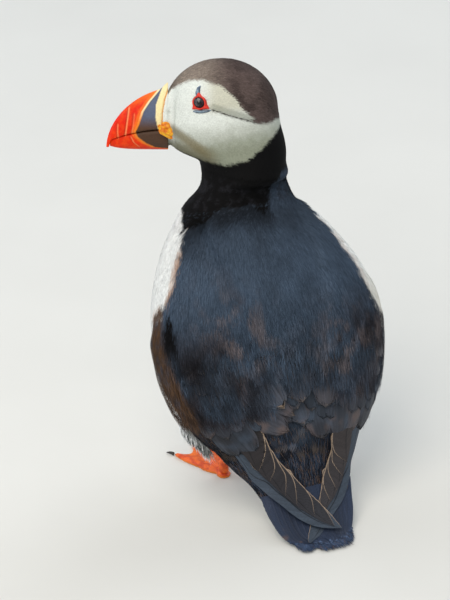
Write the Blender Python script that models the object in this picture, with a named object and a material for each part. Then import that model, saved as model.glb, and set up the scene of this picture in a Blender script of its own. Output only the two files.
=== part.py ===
# Atlantic puffin standing upright, head turned to its left, wing tips crossed over the tail.
# The bird faces -Y, its left side is +X. Lengths below are millimetres until mm() turns them to metres.
import math

import bmesh
import bpy
from mathutils import Matrix, Vector

# Where the frame's origin lies in body coordinates, whose zero is on the floor below the tail tip.
ORIGIN_X = 6.43
ORIGIN_Y = -65.6

MM = 0.001
GAP = 0.3  # width of every parting cut
TURN = 67.0  # the head's turn to the left, degrees
ROLL = 15.0  # the head's tip towards its right shoulder, degrees

# Body stations, tail tip to neck: sideways lean x, back-front y, height z, lean of the spine in
# degrees, half width, depth to the back, depth to the belly.
BODY = [
    (0.0, 12.0, 0.55, 0, 0.0, 0.0, 0.0),
    (0.0, 8.5, 0.60, 0, 15.0, 0.7, 0.8),
    (1.6, 3.0, 1.6, 24, 20.0, 0.8, 0.9),
    (2.2, -3.0, 5.6, 48, 24.3, 0.9, 1.2),
    (1.8, -12.0, 12.5, 53, 27.8, 2.0, 3.0),
    (1.0, -22.0, 20.0, 54, 30.5, 6.0, 9.0),
    (1.0, -31.0, 27.0, 57, 34.0, 12.0, 19.0),
    (1.0, -40.0, 35.0, 62, 42.0, 18.0, 27.0),
    (1.5, -54.0, 56.0, 65, 56.0, 26.0, 44.0),
    (3.5, -66.0, 82.0, 67, 66.5, 34.0, 58.0),
    (6.5, -74.0, 112.0, 68, 70.0, 40.0, 65.0),
    (9.5, -82.0, 138.0, 68, 64.0, 42.0, 62.0),
    (12.0, -93.0, 162.0, 69, 50.5, 38.0, 51.0),
    (12.0, -101.5, 179.5, 71, 36.0, 31.0, 38.0),
    (8.2, -105.5, 191.5, 74, 29.3, 26.5, 25.0),
]
SHOULDER = 13
NECK_TWIST = 25.0

# Head: its centre in body coordinates, and stations up its own axis from the throat:
# height, forward shift, half length, half width, twist of the ring in degrees.
HEAD_CENTRE = (18.0, -118.0, 236.5)
THROAT = [
    (-36.0, -15.5, 27.0, 25.0, 46),
    (-30.0, -14.0, 27.0, 24.0, 58),
    (-24.0, -8.5, 32.5, 23.5, TURN),
    (-17.0, -4.5, 35.5, 23.5, TURN),
    (-8.0, -1.8, 35.8, 23.3, TURN),
]
CROWN_HEIGHT = 31.0
CROWN_LENGTH = 34.3
CROWN_WIDTH = 22.8
CROWN_RINGS = 6
EGG = 0.15  # how much narrower the head is towards the bill

# Where the loft is parted.
TAIL_END = 4.6
NECK_START = 13.6
HEAD_START = 15.7

BILL_BASE = 29.5
BILL_TIP = 66.8
BILL_HALF_WIDTH = 8.5
LOWER_TIP = 64.6
HOOK_BOTTOM = -21.9  # how low the upper half's hooked tip reaches
CULMEN_START = 22.0
CULMEN_RISE = 36.5
CULMEN_ROUND = 0.55
RIDGE_RISE = 3.2  # the raised rim round the bill's base
RIDGE_REACH = 3.2
GAPE_TOP = -9.7
GAPE_DROP = 9.0
GONYS_BOTTOM = -23.2
GONYS_RISE = 1.9
PLANE_SIZE = 60.0
UPPER_NARROW = 0.45  # how much narrower each half is at its top edge
LOWER_NARROW = -0.15
UPPER_RINGS = 13
LOWER_RINGS = 10
BILL_SEGMENTS = 20
BILL_TAPER = 1.5  # exponents of the outline seen from above
BILL_ROUND = 0.8
BILL_BLUNT = 0.8  # how far short of a point the outline stops
BILL_SECTION = 0.8  # exponent of the cross section, below 1 is boxier
EYE_FORWARD = 11.0
EYE_HEIGHT = 8.8
EYE_SIDE = 16.0
EYE_RADIUS = 4.6
ROSETTE = (9.4, 29.6, -9.8)  # side, forward, height
ROSETTE_RADII = (2.0, 4.6, 4.4)

# Wing rows, shoulder to tip: body station, back edge and front edge round the body in degrees
# from the spine, thickness.
LEFT_WING = [
    (13.0, 62, 72, 0.8),
    (12.7, 50, 82, 2.2),
    (12.0, 36, 88, 4.0),
    (11.0, 25, 94, 5.0),
    (10.0, 19, 99, 5.4),
    (9.0, 15, 103, 5.2),
    (8.0, 12, 101, 4.6),
    (7.0, 9, 88, 3.6),
    (6.0, 7, 70, 2.6),
    (5.0, 2, 52, 2.0),
    (4.0, -8, 34, 1.7),
    (3.0, -28, 4, 1.5),
    (2.4, -50, -28, 1.3),
    (2.1, -56, -46, 1.0),
]
RIGHT_WING = [
    (13.0, 62, 72, 0.8),
    (12.7, 50, 82, 2.2),
    (12.0, 36, 88, 4.0),
    (11.0, 25, 94, 5.0),
    (10.0, 19, 99, 5.4),
    (9.0, 15, 103, 5.2),
    (8.0, 12, 101, 4.6),
    (7.0, 10, 90, 3.6),
    (6.0, 9, 76, 2.6),
    (5.0, 7, 64, 2.0),
    (4.0, 4, 52, 1.7),
    (3.0, -2, 36, 1.5),
    (2.0, -12, 20, 1.3),
    (1.4, -14, 2, 1.0),
]
WING_LIFT = 0.95  # clearance over the body
WING_EDGE = 0.7  # thickness at the rim
WING_COLUMNS = 9
WING_RINGS = 23
END_RING = 0.35
CROSS_LIFT = 2.4  # extra clearance of the left wing's tip, which lies over the right one
CROSS_START = 4.2  # stations between which that clearance is taken up
CROSS_FULL = 7.2

# Legs.
FOOT_X = 28.0
FOOT_Y = -86.0
SHANK_BEND = 10.5  # height where the shank turns into the foot
HEEL = (27.0, -80.0, 25.0)
ANKLE_TOP = 23.0  # where the feathers end on the leg
THIGH_TAPER = 0.72
HIP = (27.0, -80.0, 52.0)
THIGH_RADIUS = 13.0
TARSUS_RADIUS = 3.0
TOES = [(-22.0, 33.0), (4.0, 41.0), (32.0, 38.0)]  # spread outward in degrees, length
WEB_THICKNESS = 1.3
TOE_THICKNESS = 3.2
TOE_WIDTH = 2.0  # how far a toe's raised ridge spreads to each side
TOE_EDGE = 9.0  # degrees over which the foot's outline falls off beyond its side toes
TOE_FALL = 17.0  # degrees over which a toe's tip stands out of the web
WEB_SCOOP = 0.20  # how deep the web's front edge is scooped between toes
SOLE_REACH = 16.5  # outline just beyond a side toe
HEEL_REACH = 4.5
RIM_HEIGHT = 1.6
FOOT_SEGMENTS = 40
FOOT_RINGS = 4
CLAW_LENGTH = 6.0
CLAW_RADIUS = 1.25
CLAW_HUMP = 0.9  # how high the claw arches
CLAW_POINT = 0.35  # height of its point over the floor
CLAW_RINGS = 6


def mm(x, y, z):
    return Vector((x, y, z)) * MM


def clearScene():
    for ob in list(bpy.data.objects):
        bpy.data.objects.remove(ob, do_unlink=True)


def smoothstep(low, high, value):
    t = min(max((value - low) / (high - low), 0.0), 1.0)
    return t * t * (3.0 - 2.0 * t)


def interpolate(rows, s):
    # Catmull-Rom through equally spaced rows of numbers.
    s = min(max(s, 0.0), len(rows) - 1.0)
    i = min(int(s), len(rows) - 2)
    t = s - i
    before = rows[max(i - 1, 0)]
    after = rows[min(i + 2, len(rows) - 1)]
    mixed = []
    for p0, p1, p2, p3 in zip(before, rows[i], rows[i + 1], after):
        slope1 = (p2 - p0) / 2
        slope2 = (p3 - p1) / 2
        a = 2 * p1 - 2 * p2 + slope1 + slope2
        b = -3 * p1 + 3 * p2 - 2 * slope1 - slope2
        mixed.append(((a * t + b) * t + slope1) * t + p1)
    return mixed


def headAxes(turn):
    # side, back and up axes of the head at a given turn
    flat = Matrix.Rotation(math.radians(turn), 3, "Z")
    tip = Matrix.Rotation(-math.radians(ROLL) * turn / TURN, 3, "Y")
    both = flat @ tip
    return both @ Vector((1, 0, 0)), both @ Vector((0, 1, 0)), both @ Vector((0, 0, 1))


def bodyRows():
    # every station as centre, side axis, back axis, half width, back depth, belly depth, egg
    rows = []
    for i, (x, y, z, lean, width, back, belly) in enumerate(BODY):
        angle = math.radians(lean)
        side = Vector((1, 0, 0))
        spine = Vector((0, -math.cos(angle), math.sin(angle)))
        if i > SHOULDER:
            side = Matrix.Rotation(math.radians(NECK_TWIST), 3, spine) @ side
        backward = spine.cross(side)
        rows.append((x, y, z, *side, *backward, width, back, belly, 0))
    centre = Vector(HEAD_CENTRE)
    _, headBack, headUp = headAxes(TURN)
    for height, shift, length, width, twist in THROAT:
        side, backward, _ = headAxes(twist)
        middle = centre + headUp * height - headBack * shift
        rows.append((*middle, *side, *backward, width, length, length, EGG * twist / TURN))
    side, backward, up = headAxes(TURN)
    for i in range(CROWN_RINGS + 1):
        q = math.radians(90 * i / CROWN_RINGS)
        middle = centre + up * (1 + CROWN_HEIGHT * math.sin(q)) + backward * 1.8
        length = CROWN_LENGTH * math.cos(q)
        rows.append((*middle, *side, *backward, CROWN_WIDTH * math.cos(q), length, length, EGG))
    return rows


ROWS = bodyRows()
CROWN = len(ROWS) - 1


def bodyPoint(s, theta, scale=1.0):
    # point of the body's outline at station s, theta radians from the back towards the left side
    row = interpolate(ROWS, s)
    side = Vector(row[3:6]).normalized()
    backward = Vector(row[6:9]).normalized()
    width, back, belly, egg = row[9:13]
    depth = back if math.cos(theta) > 0 else belly
    across = width * math.sin(theta) * (1 + egg * math.cos(theta))
    return Vector(row[0:3]) + (side * across + backward * depth * math.cos(theta)) * scale


def bodyNormal(s, theta):
    along = bodyPoint(s + 0.05, theta) - bodyPoint(s - 0.05, theta)
    around = bodyPoint(s, theta + 0.03) - bodyPoint(s, theta - 0.03)
    return along.cross(around).normalized()


def makeMaterial(name, colour, roughness, metallic=0.0):
    material = bpy.data.materials.new(name)
    material.use_nodes = True
    shader = material.node_tree.nodes["Principled BSDF"]
    shader.inputs["Base Color"].default_value = (*colour, 1)
    shader.inputs["Roughness"].default_value = roughness
    shader.inputs["Metallic"].default_value = metallic
    return material


def tube(name, rings, segments, place, material=None, parent=None, origin=(0, 0, 0)):
    # closed body from a ball: place(ring, angle) puts each of its points, ring 0 and ring
    # `rings` being its two ends
    bm = bmesh.new()
    bmesh.ops.create_uvsphere(bm, u_segments=segments, v_segments=rings, radius=1)
    start = Vector(origin)
    for vert in bm.verts:
        ring = round(math.acos(max(-1.0, min(1.0, vert.co.z))) / math.pi * rings)
        angle = math.atan2(vert.co.y, vert.co.x)
        vert.co = Vector(place(ring, angle)) - start
    if bm.calc_volume(signed=True) < 0:
        bmesh.ops.reverse_faces(bm, faces=bm.faces)
    bmesh.ops.scale(bm, verts=bm.verts, vec=(MM, MM, MM))
    mesh = bpy.data.meshes.new(name)
    bm.to_mesh(mesh)
    bm.free()
    mesh.shade_smooth()
    ob = bpy.data.objects.new(name, mesh)
    ob.location = start * MM
    bpy.context.scene.collection.objects.link(ob)
    if material is None:
        ob.hide_render = True
        ob.display_type = "WIRE"
    else:
        mesh.materials.append(material)
    ob.parent = parent
    return ob


def carve(target, cutter):
    cut = target.modifiers.new("cut by " + cutter.name, "BOOLEAN")
    cut.operation = "DIFFERENCE"
    cut.solver = "EXACT"
    cut.object = cutter


def loft(name, low, high, rings, segments, material, parent, origin):
    # stretch of the body between two stations, flat where it is parted
    step = 0.5 * GAP

    def trimmed(s, direction):
        speed = (bodyPoint(s + 0.01, 0, 0) - bodyPoint(s - 0.01, 0, 0)).length / 0.02
        return s + direction * step / speed

    first = low if low == 0 else trimmed(low, 1)
    last = high if high == CROWN else trimmed(high, -1)
    bodyRings = rings - (low > 0) - (high < CROWN)

    def place(ring, theta):
        if low > 0 and ring == 0:
            return bodyPoint(first, theta, 0)
        if high < CROWN and ring == rings:
            return bodyPoint(last, theta, 0)
        t = (ring - (low > 0)) / bodyRings
        point = bodyPoint(first + (last - first) * t, theta)
        point.z = max(point.z, 0.0)
        return point

    return tube(name, rings, segments, place, material, parent, origin)


def wing(name, rows, mirror, lift, material, parent, origin):
    # shell that lies on the body from the shoulder to the crossed tip
    columns = WING_COLUMNS
    rings = WING_RINGS
    segments = 2 * columns

    def place(ring, angle):
        index = round((angle % math.tau) / math.tau * segments) % segments
        # the first and last rings are drawn in, so that both ends close without a spike
        a = min(max(ring, END_RING), rings - END_RING) / rings * (len(rows) - 1)
        s, back, front, thickness = interpolate(rows, a)
        outside = index < columns
        step = index if outside else segments - 1 - index
        across = step / (columns - 1)
        if ring in (0, rings):
            across = 0.5
        theta = math.radians(back + (front - back) * across)
        if mirror:
            theta = -theta
        bulge = math.sqrt(max(math.sin(math.pi * across), 0.0))
        offset = WING_LIFT
        if outside:
            offset = WING_LIFT + WING_EDGE + (thickness - WING_EDGE) * bulge
        raised = lift * (1 - smoothstep(CROSS_START, CROSS_FULL, s))
        if ring in (0, rings):
            offset = WING_LIFT + WING_EDGE / 2
        return bodyPoint(s, theta) + bodyNormal(s, theta) * (offset + raised)

    return tube(name, rings, segments, place, material, parent, origin)


def billShape(forward, tip):
    # half width of the bill, from its base to its tip
    t = min(max((forward - BILL_BASE) / (tip - BILL_BASE + BILL_BLUNT), 0.0), 1.0)
    return BILL_HALF_WIDTH * (1 - t ** BILL_TAPER) ** BILL_ROUND


def culmen(forward):
    t = (forward - CULMEN_START) / (BILL_TIP - CULMEN_START)
    ridge = RIDGE_RISE * math.exp(-((forward - BILL_BASE) / RIDGE_REACH) ** 2)
    return HOOK_BOTTOM + CULMEN_RISE * max(1 - t * t, 0.0) ** CULMEN_ROUND + ridge


def gape(forward):
    return GAPE_TOP - GAPE_DROP * ((forward - BILL_BASE) / (BILL_TIP - BILL_BASE)) ** 2


def gonys(forward):
    return GONYS_BOTTOM + GONYS_RISE * ((forward - BILL_BASE) / (LOWER_TIP - BILL_BASE)) ** 6


def mandible(name, tip, bottom, top, narrow, rings, material, parent):
    # one half of the bill in head coordinates: side, back, up
    def place(ring, theta):
        if ring == 0:
            forward = BILL_BASE + GAP
            middle = (bottom(forward) + top(forward)) / 2
            return (0, -forward, middle)
        t = (ring - 1) / (rings - 1)
        forward = BILL_BASE + GAP + (tip - BILL_BASE - GAP) * math.sin(t * math.pi / 2)
        low = bottom(forward)
        high = top(forward)
        half = (high - low) / 2
        width = billShape(forward, tip) * (1 - narrow * math.cos(theta))
        if ring == rings:
            return (0, -forward, (low + high) / 2)
        across = math.copysign(abs(math.sin(theta)) ** BILL_SECTION, math.sin(theta))
        return (width * across, -forward, (low + high) / 2 + half * math.cos(theta))

    return tube(name, rings, BILL_SEGMENTS, place, material, parent)


def block(name, centre, half, parent):
    # box-shaped cutter
    bm = bmesh.new()
    bmesh.ops.create_cube(bm, size=2 * half * MM)
    mesh = bpy.data.meshes.new(name)
    bm.to_mesh(mesh)
    bm.free()
    ob = bpy.data.objects.new(name, mesh)
    ob.location = mm(*centre)
    ob.hide_render = True
    ob.display_type = "WIRE"
    bpy.context.scene.collection.objects.link(ob)
    ob.parent = parent
    return ob


def ball(name, centre, radii, segments, material=None, parent=None, grow=0.0):
    def place(ring, angle):
        polar = math.pi * ring / (segments // 2)
        x = math.cos(polar) * (radii[0] + grow)
        y = math.sin(polar) * math.cos(angle) * (radii[1] + grow)
        z = math.sin(polar) * math.sin(angle) * (radii[2] + grow)
        return Vector(centre) + Vector((x, y, z))

    return tube(name, segments // 2, segments, place, material, parent, centre)


def limb(name, stops, rings, segments, material=None, parent=None, grow=0.0):
    # rounded limb through stops of x, y, z, radius
    ends = len(stops) - 1

    def place(ring, angle):
        t = ring / rings * ends
        x, y, z, radius = interpolate(stops, t)
        x2, y2, z2, _ = interpolate(stops, t + 0.05 if t < ends else t - 0.05)
        along = Vector((x2 - x, y2 - y, z2 - z)).normalized()
        if t >= ends:
            along = -along
        side = along.cross(Vector((0, 1, 0))).normalized()
        front = along.cross(side)
        reach = 0.0 if ring in (0, rings) else radius + grow
        end = (-grow if ring == 0 else grow if ring == rings else 0.0)
        middle = Vector((x, y, z)) + along * end
        return middle + (side * math.cos(angle) + front * math.sin(angle)) * reach

    return tube(name, rings, segments, place, material, parent, stops[0][0:3])


def footOutline(angle, mirror):
    # reach of the webbed foot in a direction measured outward from straight ahead, radians
    degrees = math.degrees(angle) * mirror
    inner, middle, outer = TOES
    low = inner[0] - TOE_EDGE
    high = outer[0] + TOE_EDGE
    if degrees < low or degrees > high:
        past = min(abs(degrees - low), abs(degrees - high))
        return HEEL_REACH + (SOLE_REACH - HEEL_REACH) * math.exp(-(past / 12.0) ** 2)
    reach = 0.0
    for spread, length in TOES:
        reach = max(reach, length * math.exp(-(abs(degrees - spread) / TOE_FALL) ** 2.2))
    if degrees < inner[0] or degrees > outer[0]:
        edge = inner if degrees < inner[0] else outer
        return edge[1] - (edge[1] - SOLE_REACH) * (abs(degrees - edge[0]) / TOE_EDGE) ** 1.2
    between = [inner, middle] if degrees < middle[0] else [middle, outer]
    t = (degrees - between[0][0]) / (between[1][0] - between[0][0])
    web = between[0][1] + (between[1][1] - between[0][1]) * t
    return max(reach, web * (1 - WEB_SCOOP * math.sin(math.pi * t)))


def foot(name, mirror, material, parent):
    # webbed foot, flat below: three toes stand up from the web
    half = FOOT_RINGS
    centre = Vector((FOOT_X * mirror, FOOT_Y, 0))

    def place(ring, angle):
        if ring > half:
            height = 0.0
            reach = (2 * half - ring) / half
        else:
            reach = ring / half
            height = WEB_THICKNESS
        # more of the points go to the toes than to the heel
        eased = angle / math.pi
        eased = math.copysign(abs(eased) ** 1.5, eased) * math.pi
        radius = footOutline(eased, mirror) * reach
        if ring <= half:
            degrees = math.degrees(eased) * mirror
            for toe, length in TOES:
                miss = radius * math.sin(math.radians(min(abs(degrees - toe), 89)))
                bump = math.exp(-(miss / TOE_WIDTH) ** 2) * (1 - 0.35 * reach)
                height = max(height, WEB_THICKNESS + (TOE_THICKNESS - WEB_THICKNESS) * bump)
            if ring == half:
                height = min(height, RIM_HEIGHT)
        x = math.sin(eased) * radius
        y = -math.cos(eased) * radius
        return centre + Vector((x, y, height))

    return tube(name, 2 * half, FOOT_SEGMENTS, place, material, parent, centre)


def claw(name, spread, length, mirror, material, parent):
    angle = math.radians(spread) * mirror
    ahead = Vector((math.sin(angle), -math.cos(angle), 0))
    base = Vector((FOOT_X * mirror, FOOT_Y, 0)) + ahead * (length + GAP)

    def place(ring, around):
        t = max(ring - 1, 0) / (CLAW_RINGS - 1)
        radius = CLAW_RADIUS * (1 - t) ** 0.6
        if ring == 0:
            radius = 0.0
        middle = base + ahead * CLAW_LENGTH * t
        side = ahead.cross(Vector((0, 0, 1)))
        height = CLAW_RADIUS + CLAW_HUMP * math.sin(math.pi * t * 0.9) * (1 - t)
        height -= (CLAW_RADIUS - CLAW_POINT) * t
        across = side * math.cos(around) * radius * 0.8
        return middle + across + Vector((0, 0, height + math.sin(around) * radius))

    return tube(name, CLAW_RINGS, 8, place, material, parent, base)


def build():
    clearScene()
    root = bpy.data.objects.new("root_frame", None)
    root.location = mm(-ORIGIN_X, -ORIGIN_Y, 0)
    bpy.context.scene.collection.objects.link(root)
    headFrame = bpy.data.objects.new("head_frame", None)
    side, backward, up = headAxes(TURN)
    turned = Matrix((side, backward, up)).transposed().to_4x4()
    headFrame.matrix_world = Matrix.Translation(mm(*HEAD_CENTRE)) @ turned
    headFrame.parent = root
    bpy.context.scene.collection.objects.link(headFrame)

    white = makeMaterial("face_feathers", (0.72, 0.74, 0.72), 0.8)
    black = makeMaterial("back_feathers", (0.030, 0.034, 0.042), 0.7)
    wingBlack = makeMaterial("wing_feathers", (0.042, 0.038, 0.040), 0.65)
    tailBlack = makeMaterial("tail_feathers", (0.038, 0.046, 0.060), 0.65)
    collar = makeMaterial("collar_feathers", (0.012, 0.012, 0.014), 0.75)
    thighWhite = makeMaterial("thigh_feathers", (0.62, 0.62, 0.58), 0.8)
    billRed = makeMaterial("bill_horn", (0.83, 0.09, 0.015), 0.4)
    rosetteSkin = makeMaterial("rosette_skin", (0.84, 0.38, 0.010), 0.5)
    orangeSkin = makeMaterial("foot_skin", (0.86, 0.17, 0.015), 0.55)
    eyeDark = makeMaterial("eye_cornea", (0.012, 0.013, 0.020), 0.1)
    clawBlack = makeMaterial("claw_horn", (0.02, 0.018, 0.018), 0.4)

    tail = loft("tail", 0, TAIL_END, 9, 24, tailBlack, root, (0, -12, 12))
    trunk = loft("trunk", TAIL_END, NECK_START, 23, 34, black, root, (0, -74, 112))
    neck = loft("neck", NECK_START, HEAD_START, 6, 32, collar, root, (0, -108, 196))
    head = loft("head", HEAD_START, CROWN, 17, 30, white, root, HEAD_CENTRE)

    hip = (0, -74, 112)
    wing("wing_left", LEFT_WING, False, CROSS_LIFT, wingBlack, root, hip)
    wing("wing_right", RIGHT_WING, True, 0.0, wingBlack, root, hip)

    upper = mandible("bill_upper", BILL_TIP, upperBottom, culmen, UPPER_NARROW, UPPER_RINGS,
                     billRed, headFrame)
    lower = mandible("bill_lower", LOWER_TIP, gonys, lowerTop, LOWER_NARROW, LOWER_RINGS,
                     billRed, headFrame)
    carve(head, block("bill_plane", (0, -BILL_BASE - PLANE_SIZE, 0), PLANE_SIZE, headFrame))

    for label, mirror in (("left", 1), ("right", -1)):
        centre = (EYE_SIDE * mirror, -EYE_FORWARD, EYE_HEIGHT)
        radii = (EYE_RADIUS,) * 3
        ball("eye_" + label, centre, radii, 16, eyeDark, headFrame)
        carve(head, ball("eye_socket_" + label, centre, radii, 16, None, headFrame, GAP))
        spot = (ROSETTE[0] * mirror, -ROSETTE[1], ROSETTE[2])
        ball("rosette_" + label, spot, ROSETTE_RADII, 14, rosetteSkin, headFrame)
        seat = ball("rosette_seat_" + label, spot, ROSETTE_RADII, 14, None, headFrame, GAP)
        for piece in (head, upper, lower):
            carve(piece, seat)

        thighStops = [
            (HIP[0] * mirror, HIP[1], HIP[2], THIGH_RADIUS),
            (HIP[0] * mirror, HIP[1], HIP[2] - 9, THIGH_RADIUS),
            (HEEL[0] * mirror, HEEL[1], HEEL[2] + 7, THIGH_RADIUS * THIGH_TAPER),
            (HEEL[0] * mirror, HEEL[1], ANKLE_TOP, TARSUS_RADIUS + 1.2),
        ]
        limb("thigh_" + label, thighStops, 8, 16, thighWhite, root)
        carve(trunk, limb("thigh_socket_" + label, thighStops, 8, 16, None, root, GAP))
        shankStops = [
            (HEEL[0] * mirror, HEEL[1], ANKLE_TOP - GAP, TARSUS_RADIUS),
            (HEEL[0] * mirror, HEEL[1] - 1, HEEL[2] - 9, TARSUS_RADIUS * 0.9),
            (FOOT_X * mirror, FOOT_Y + 1, SHANK_BEND, TARSUS_RADIUS * 0.95),
            (FOOT_X * mirror, FOOT_Y, TOE_THICKNESS + GAP, TARSUS_RADIUS * 1.1),
        ]
        limb("tarsus_" + label, shankStops, 8, 12, orangeSkin, root)
        foot("foot_" + label, mirror, orangeSkin, root)
        for place, (spread, length) in zip(("inner", "middle", "outer"), TOES):
            claw("claw_%s_%s" % (place, label), spread, length, mirror, clawBlack, root)


def upperBottom(forward):
    # the gape, then the hook that closes over the lower half's tip
    hook = smoothstep(LOWER_TIP, BILL_TIP, forward)
    return gape(forward) + (HOOK_BOTTOM - gape(forward)) * hook


def lowerTop(forward):
    return gape(forward) - GAP


build()
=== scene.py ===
import math

import bmesh
import bpy
import numpy as np
from mathutils import Matrix, Vector
from mathutils.bvhtree import BVHTree
from mathutils.kdtree import KDTree


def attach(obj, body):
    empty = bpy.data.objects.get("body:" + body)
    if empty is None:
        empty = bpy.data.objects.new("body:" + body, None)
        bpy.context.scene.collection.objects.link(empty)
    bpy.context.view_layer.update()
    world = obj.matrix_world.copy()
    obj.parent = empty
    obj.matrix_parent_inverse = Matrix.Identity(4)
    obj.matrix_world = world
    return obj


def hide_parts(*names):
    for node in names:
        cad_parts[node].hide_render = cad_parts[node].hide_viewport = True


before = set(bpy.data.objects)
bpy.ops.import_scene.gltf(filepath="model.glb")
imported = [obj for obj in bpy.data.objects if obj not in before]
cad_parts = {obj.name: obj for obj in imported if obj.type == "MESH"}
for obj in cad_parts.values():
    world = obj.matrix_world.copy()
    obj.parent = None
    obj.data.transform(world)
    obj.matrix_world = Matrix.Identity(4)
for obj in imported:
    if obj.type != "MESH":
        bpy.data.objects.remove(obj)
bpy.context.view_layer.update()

# camera, floor, light

stand = {
    "azimuth": 157.0, "elevation": 30.0, "distance": 2.0,
    "aim": (0.0, 0.0, 0.134), "lens": 200.0, "sensor": 36.0,
    "asideRight": -0.027, "asideUp": -0.0021,
}


def makeCamera(o):
    a = math.radians(o["azimuth"])
    e = math.radians(o["elevation"])
    back = Vector((math.sin(a) * math.cos(e), -math.cos(a) * math.cos(e), math.sin(e)))
    right = Vector((math.cos(a), math.sin(a), 0))
    up = back.cross(right)
    data = bpy.data.cameras.new("camera")
    data.lens = o["lens"]
    data.sensor_width = o["sensor"]
    camera = bpy.data.objects.new("camera", data)
    place = Vector(o["aim"]) + back * o["distance"]
    place += right * o["asideRight"] + up * o["asideUp"]
    turn = Matrix((right, up, back)).transposed().to_4x4()
    camera.matrix_world = Matrix.Translation(place) @ turn
    bpy.context.scene.collection.objects.link(camera)
    bpy.context.scene.camera = camera
    return camera


makeCamera(stand)
bpy.context.scene.view_settings.view_transform = "Standard"


def linear(hexColour):
    # sRGB hex to linear light
    parts = [int(hexColour[i:i + 2], 16) / 255 for i in (1, 3, 5)]
    return np.array([c / 12.92 if c < 0.04045 else ((c + 0.055) / 1.055) ** 2.4 for c in parts])


def addNode(tree, kind, settings=None, links=None):
    # a node with its settings and what feeds it, by socket name or number
    node = tree.nodes.new(kind)
    for key, value in (settings or {}).items():
        if isinstance(key, str) and hasattr(node, key):
            setattr(node, key, value)
        else:
            node.inputs[key].default_value = value
    for key, source in (links or {}).items():
        tree.links.new(source, node.inputs[key])
    return node


def newMaterial(name):
    material = bpy.data.materials.new(name)
    material.use_nodes = True
    tree = material.node_tree
    return material, tree, tree.nodes["Principled BSDF"]


stage = {
    "floor": 8.0, "card": ("#d6d6d2", "#dededa"), "sky": "#e8eef2", "skyStrength": 0.62,
    "lampAim": (0, 0, 0.13),
    # name, place, size, watts, colour
    "lamps": [
        ("key", (0.7, 0.5, 1.5), 1.1, 17.0, "#fff6ea"),
        ("fill", (1.2, -1.0, 0.8), 1.2, 8.5, "#eef4ff"),
        ("rim", (-1.1, -0.6, 1.2), 1.0, 8.0, "#f4f8ff"),
    ],
}


def floorMaterial():
    # matt card, so that the soft shadow under the feet shows
    material, tree, shader = newMaterial("pale matt card")
    place = addNode(tree, "ShaderNodeTexCoord")
    grain = addNode(tree, "ShaderNodeTexNoise", {"Scale": 9.0, "Detail": 3.0},
                    {"Vector": place.outputs["Object"]})
    ramp = addNode(tree, "ShaderNodeValToRGB", None, {"Fac": grain.outputs["Fac"]})
    for element, card in zip(ramp.color_ramp.elements, stage["card"]):
        element.color = (*linear(card), 1)
    tree.links.new(ramp.outputs["Color"], shader.inputs["Base Color"])
    shader.inputs["Roughness"].default_value = 0.9
    return material


def makeStage(o):
    bm = bmesh.new()
    bmesh.ops.create_grid(bm, x_segments=1, y_segments=1, size=o["floor"])
    mesh = bpy.data.meshes.new("floor")
    bm.to_mesh(mesh)
    bm.free()
    floor = bpy.data.objects.new("floor", mesh)
    bpy.context.scene.collection.objects.link(floor)
    mesh.materials.append(floorMaterial())
    world = bpy.data.worlds.new("sky")
    bpy.context.scene.world = world
    world.use_nodes = True
    sky = world.node_tree.nodes["Background"]
    sky.inputs[0].default_value = (*linear(o["sky"]), 1)
    sky.inputs[1].default_value = o["skyStrength"]
    for name, spot, size, watts, tint in o["lamps"]:
        data = bpy.data.lights.new(name, "AREA")
        data.size = size
        data.energy = watts
        data.color = linear(tint)
        lamp = bpy.data.objects.new(name, data)
        lamp.location = spot
        aim = Vector(o["lampAim"]) - Vector(spot)
        lamp.rotation_euler = aim.to_track_quat("-Z", "Y").to_euler()
        bpy.context.scene.collection.objects.link(lamp)


makeStage(stage)
print("camera and stage made")

# the bird's own shape

milli = 0.001
bird = {
    "origin": (6.43, -65.6), "turn": 67.0, "roll": 15.0, "neckTwist": 25.0, "shoulder": 13,
    "headCentre": (18.0, -118.0, 236.5), "egg": 0.15,
    # rise, half length, half width, rings, then how far it stands up and back from the centre
    "crown": (31.0, 34.3, 22.8, 6), "crownFoot": (1, 1.8),
    # x, y, z, lean of the spine, half width, depth to the back, depth to the belly
    "body": [
        (0.0, 12.0, 0.55, 0, 0.0, 0.0, 0.0), (0.0, 8.5, 0.60, 0, 15.0, 0.7, 0.8),
        (1.6, 3.0, 1.6, 24, 20.0, 0.8, 0.9), (2.2, -3.0, 5.6, 48, 24.3, 0.9, 1.2),
        (1.8, -12.0, 12.5, 53, 27.8, 2.0, 3.0), (1.0, -22.0, 20.0, 54, 30.5, 6.0, 9.0),
        (1.0, -31.0, 27.0, 57, 34.0, 12.0, 19.0), (1.0, -40.0, 35.0, 62, 42.0, 18.0, 27.0),
        (1.5, -54.0, 56.0, 65, 56.0, 26.0, 44.0), (3.5, -66.0, 82.0, 67, 66.5, 34.0, 58.0),
        (6.5, -74.0, 112.0, 68, 70.0, 40.0, 65.0), (9.5, -82.0, 138.0, 68, 64.0, 42.0, 62.0),
        (12.0, -93.0, 162.0, 69, 50.5, 38.0, 51.0), (12.0, -101.5, 179.5, 71, 36.0, 31.0, 38.0),
        (8.2, -105.5, 191.5, 74, 29.3, 26.5, 25.0),
    ],
    # height, forward shift, half length, half width, twist
    "throat": [
        (-36.0, -15.5, 27.0, 25.0, 46), (-30.0, -14.0, 27.0, 24.0, 58), (-24.0, -8.5, 32.5, 23.5, 67),
        (-17.0, -4.5, 35.5, 23.5, 67), (-8.0, -1.8, 35.8, 23.3, 67),
    ],
    # station, back edge, front edge, thickness
    "wing": [
        (7.4, 10, 90, 0.0), (8.0, 12, 101, 4.6), (9.0, 15, 103, 5.2), (10.0, 19, 99, 5.4),
        (11.0, 25, 94, 5.0), (12.0, 36, 88, 4.0), (12.7, 50, 82, 2.2), (13.0, 62, 72, 0.8),
    ],
    "wingLift": 0.95,
}


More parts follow.
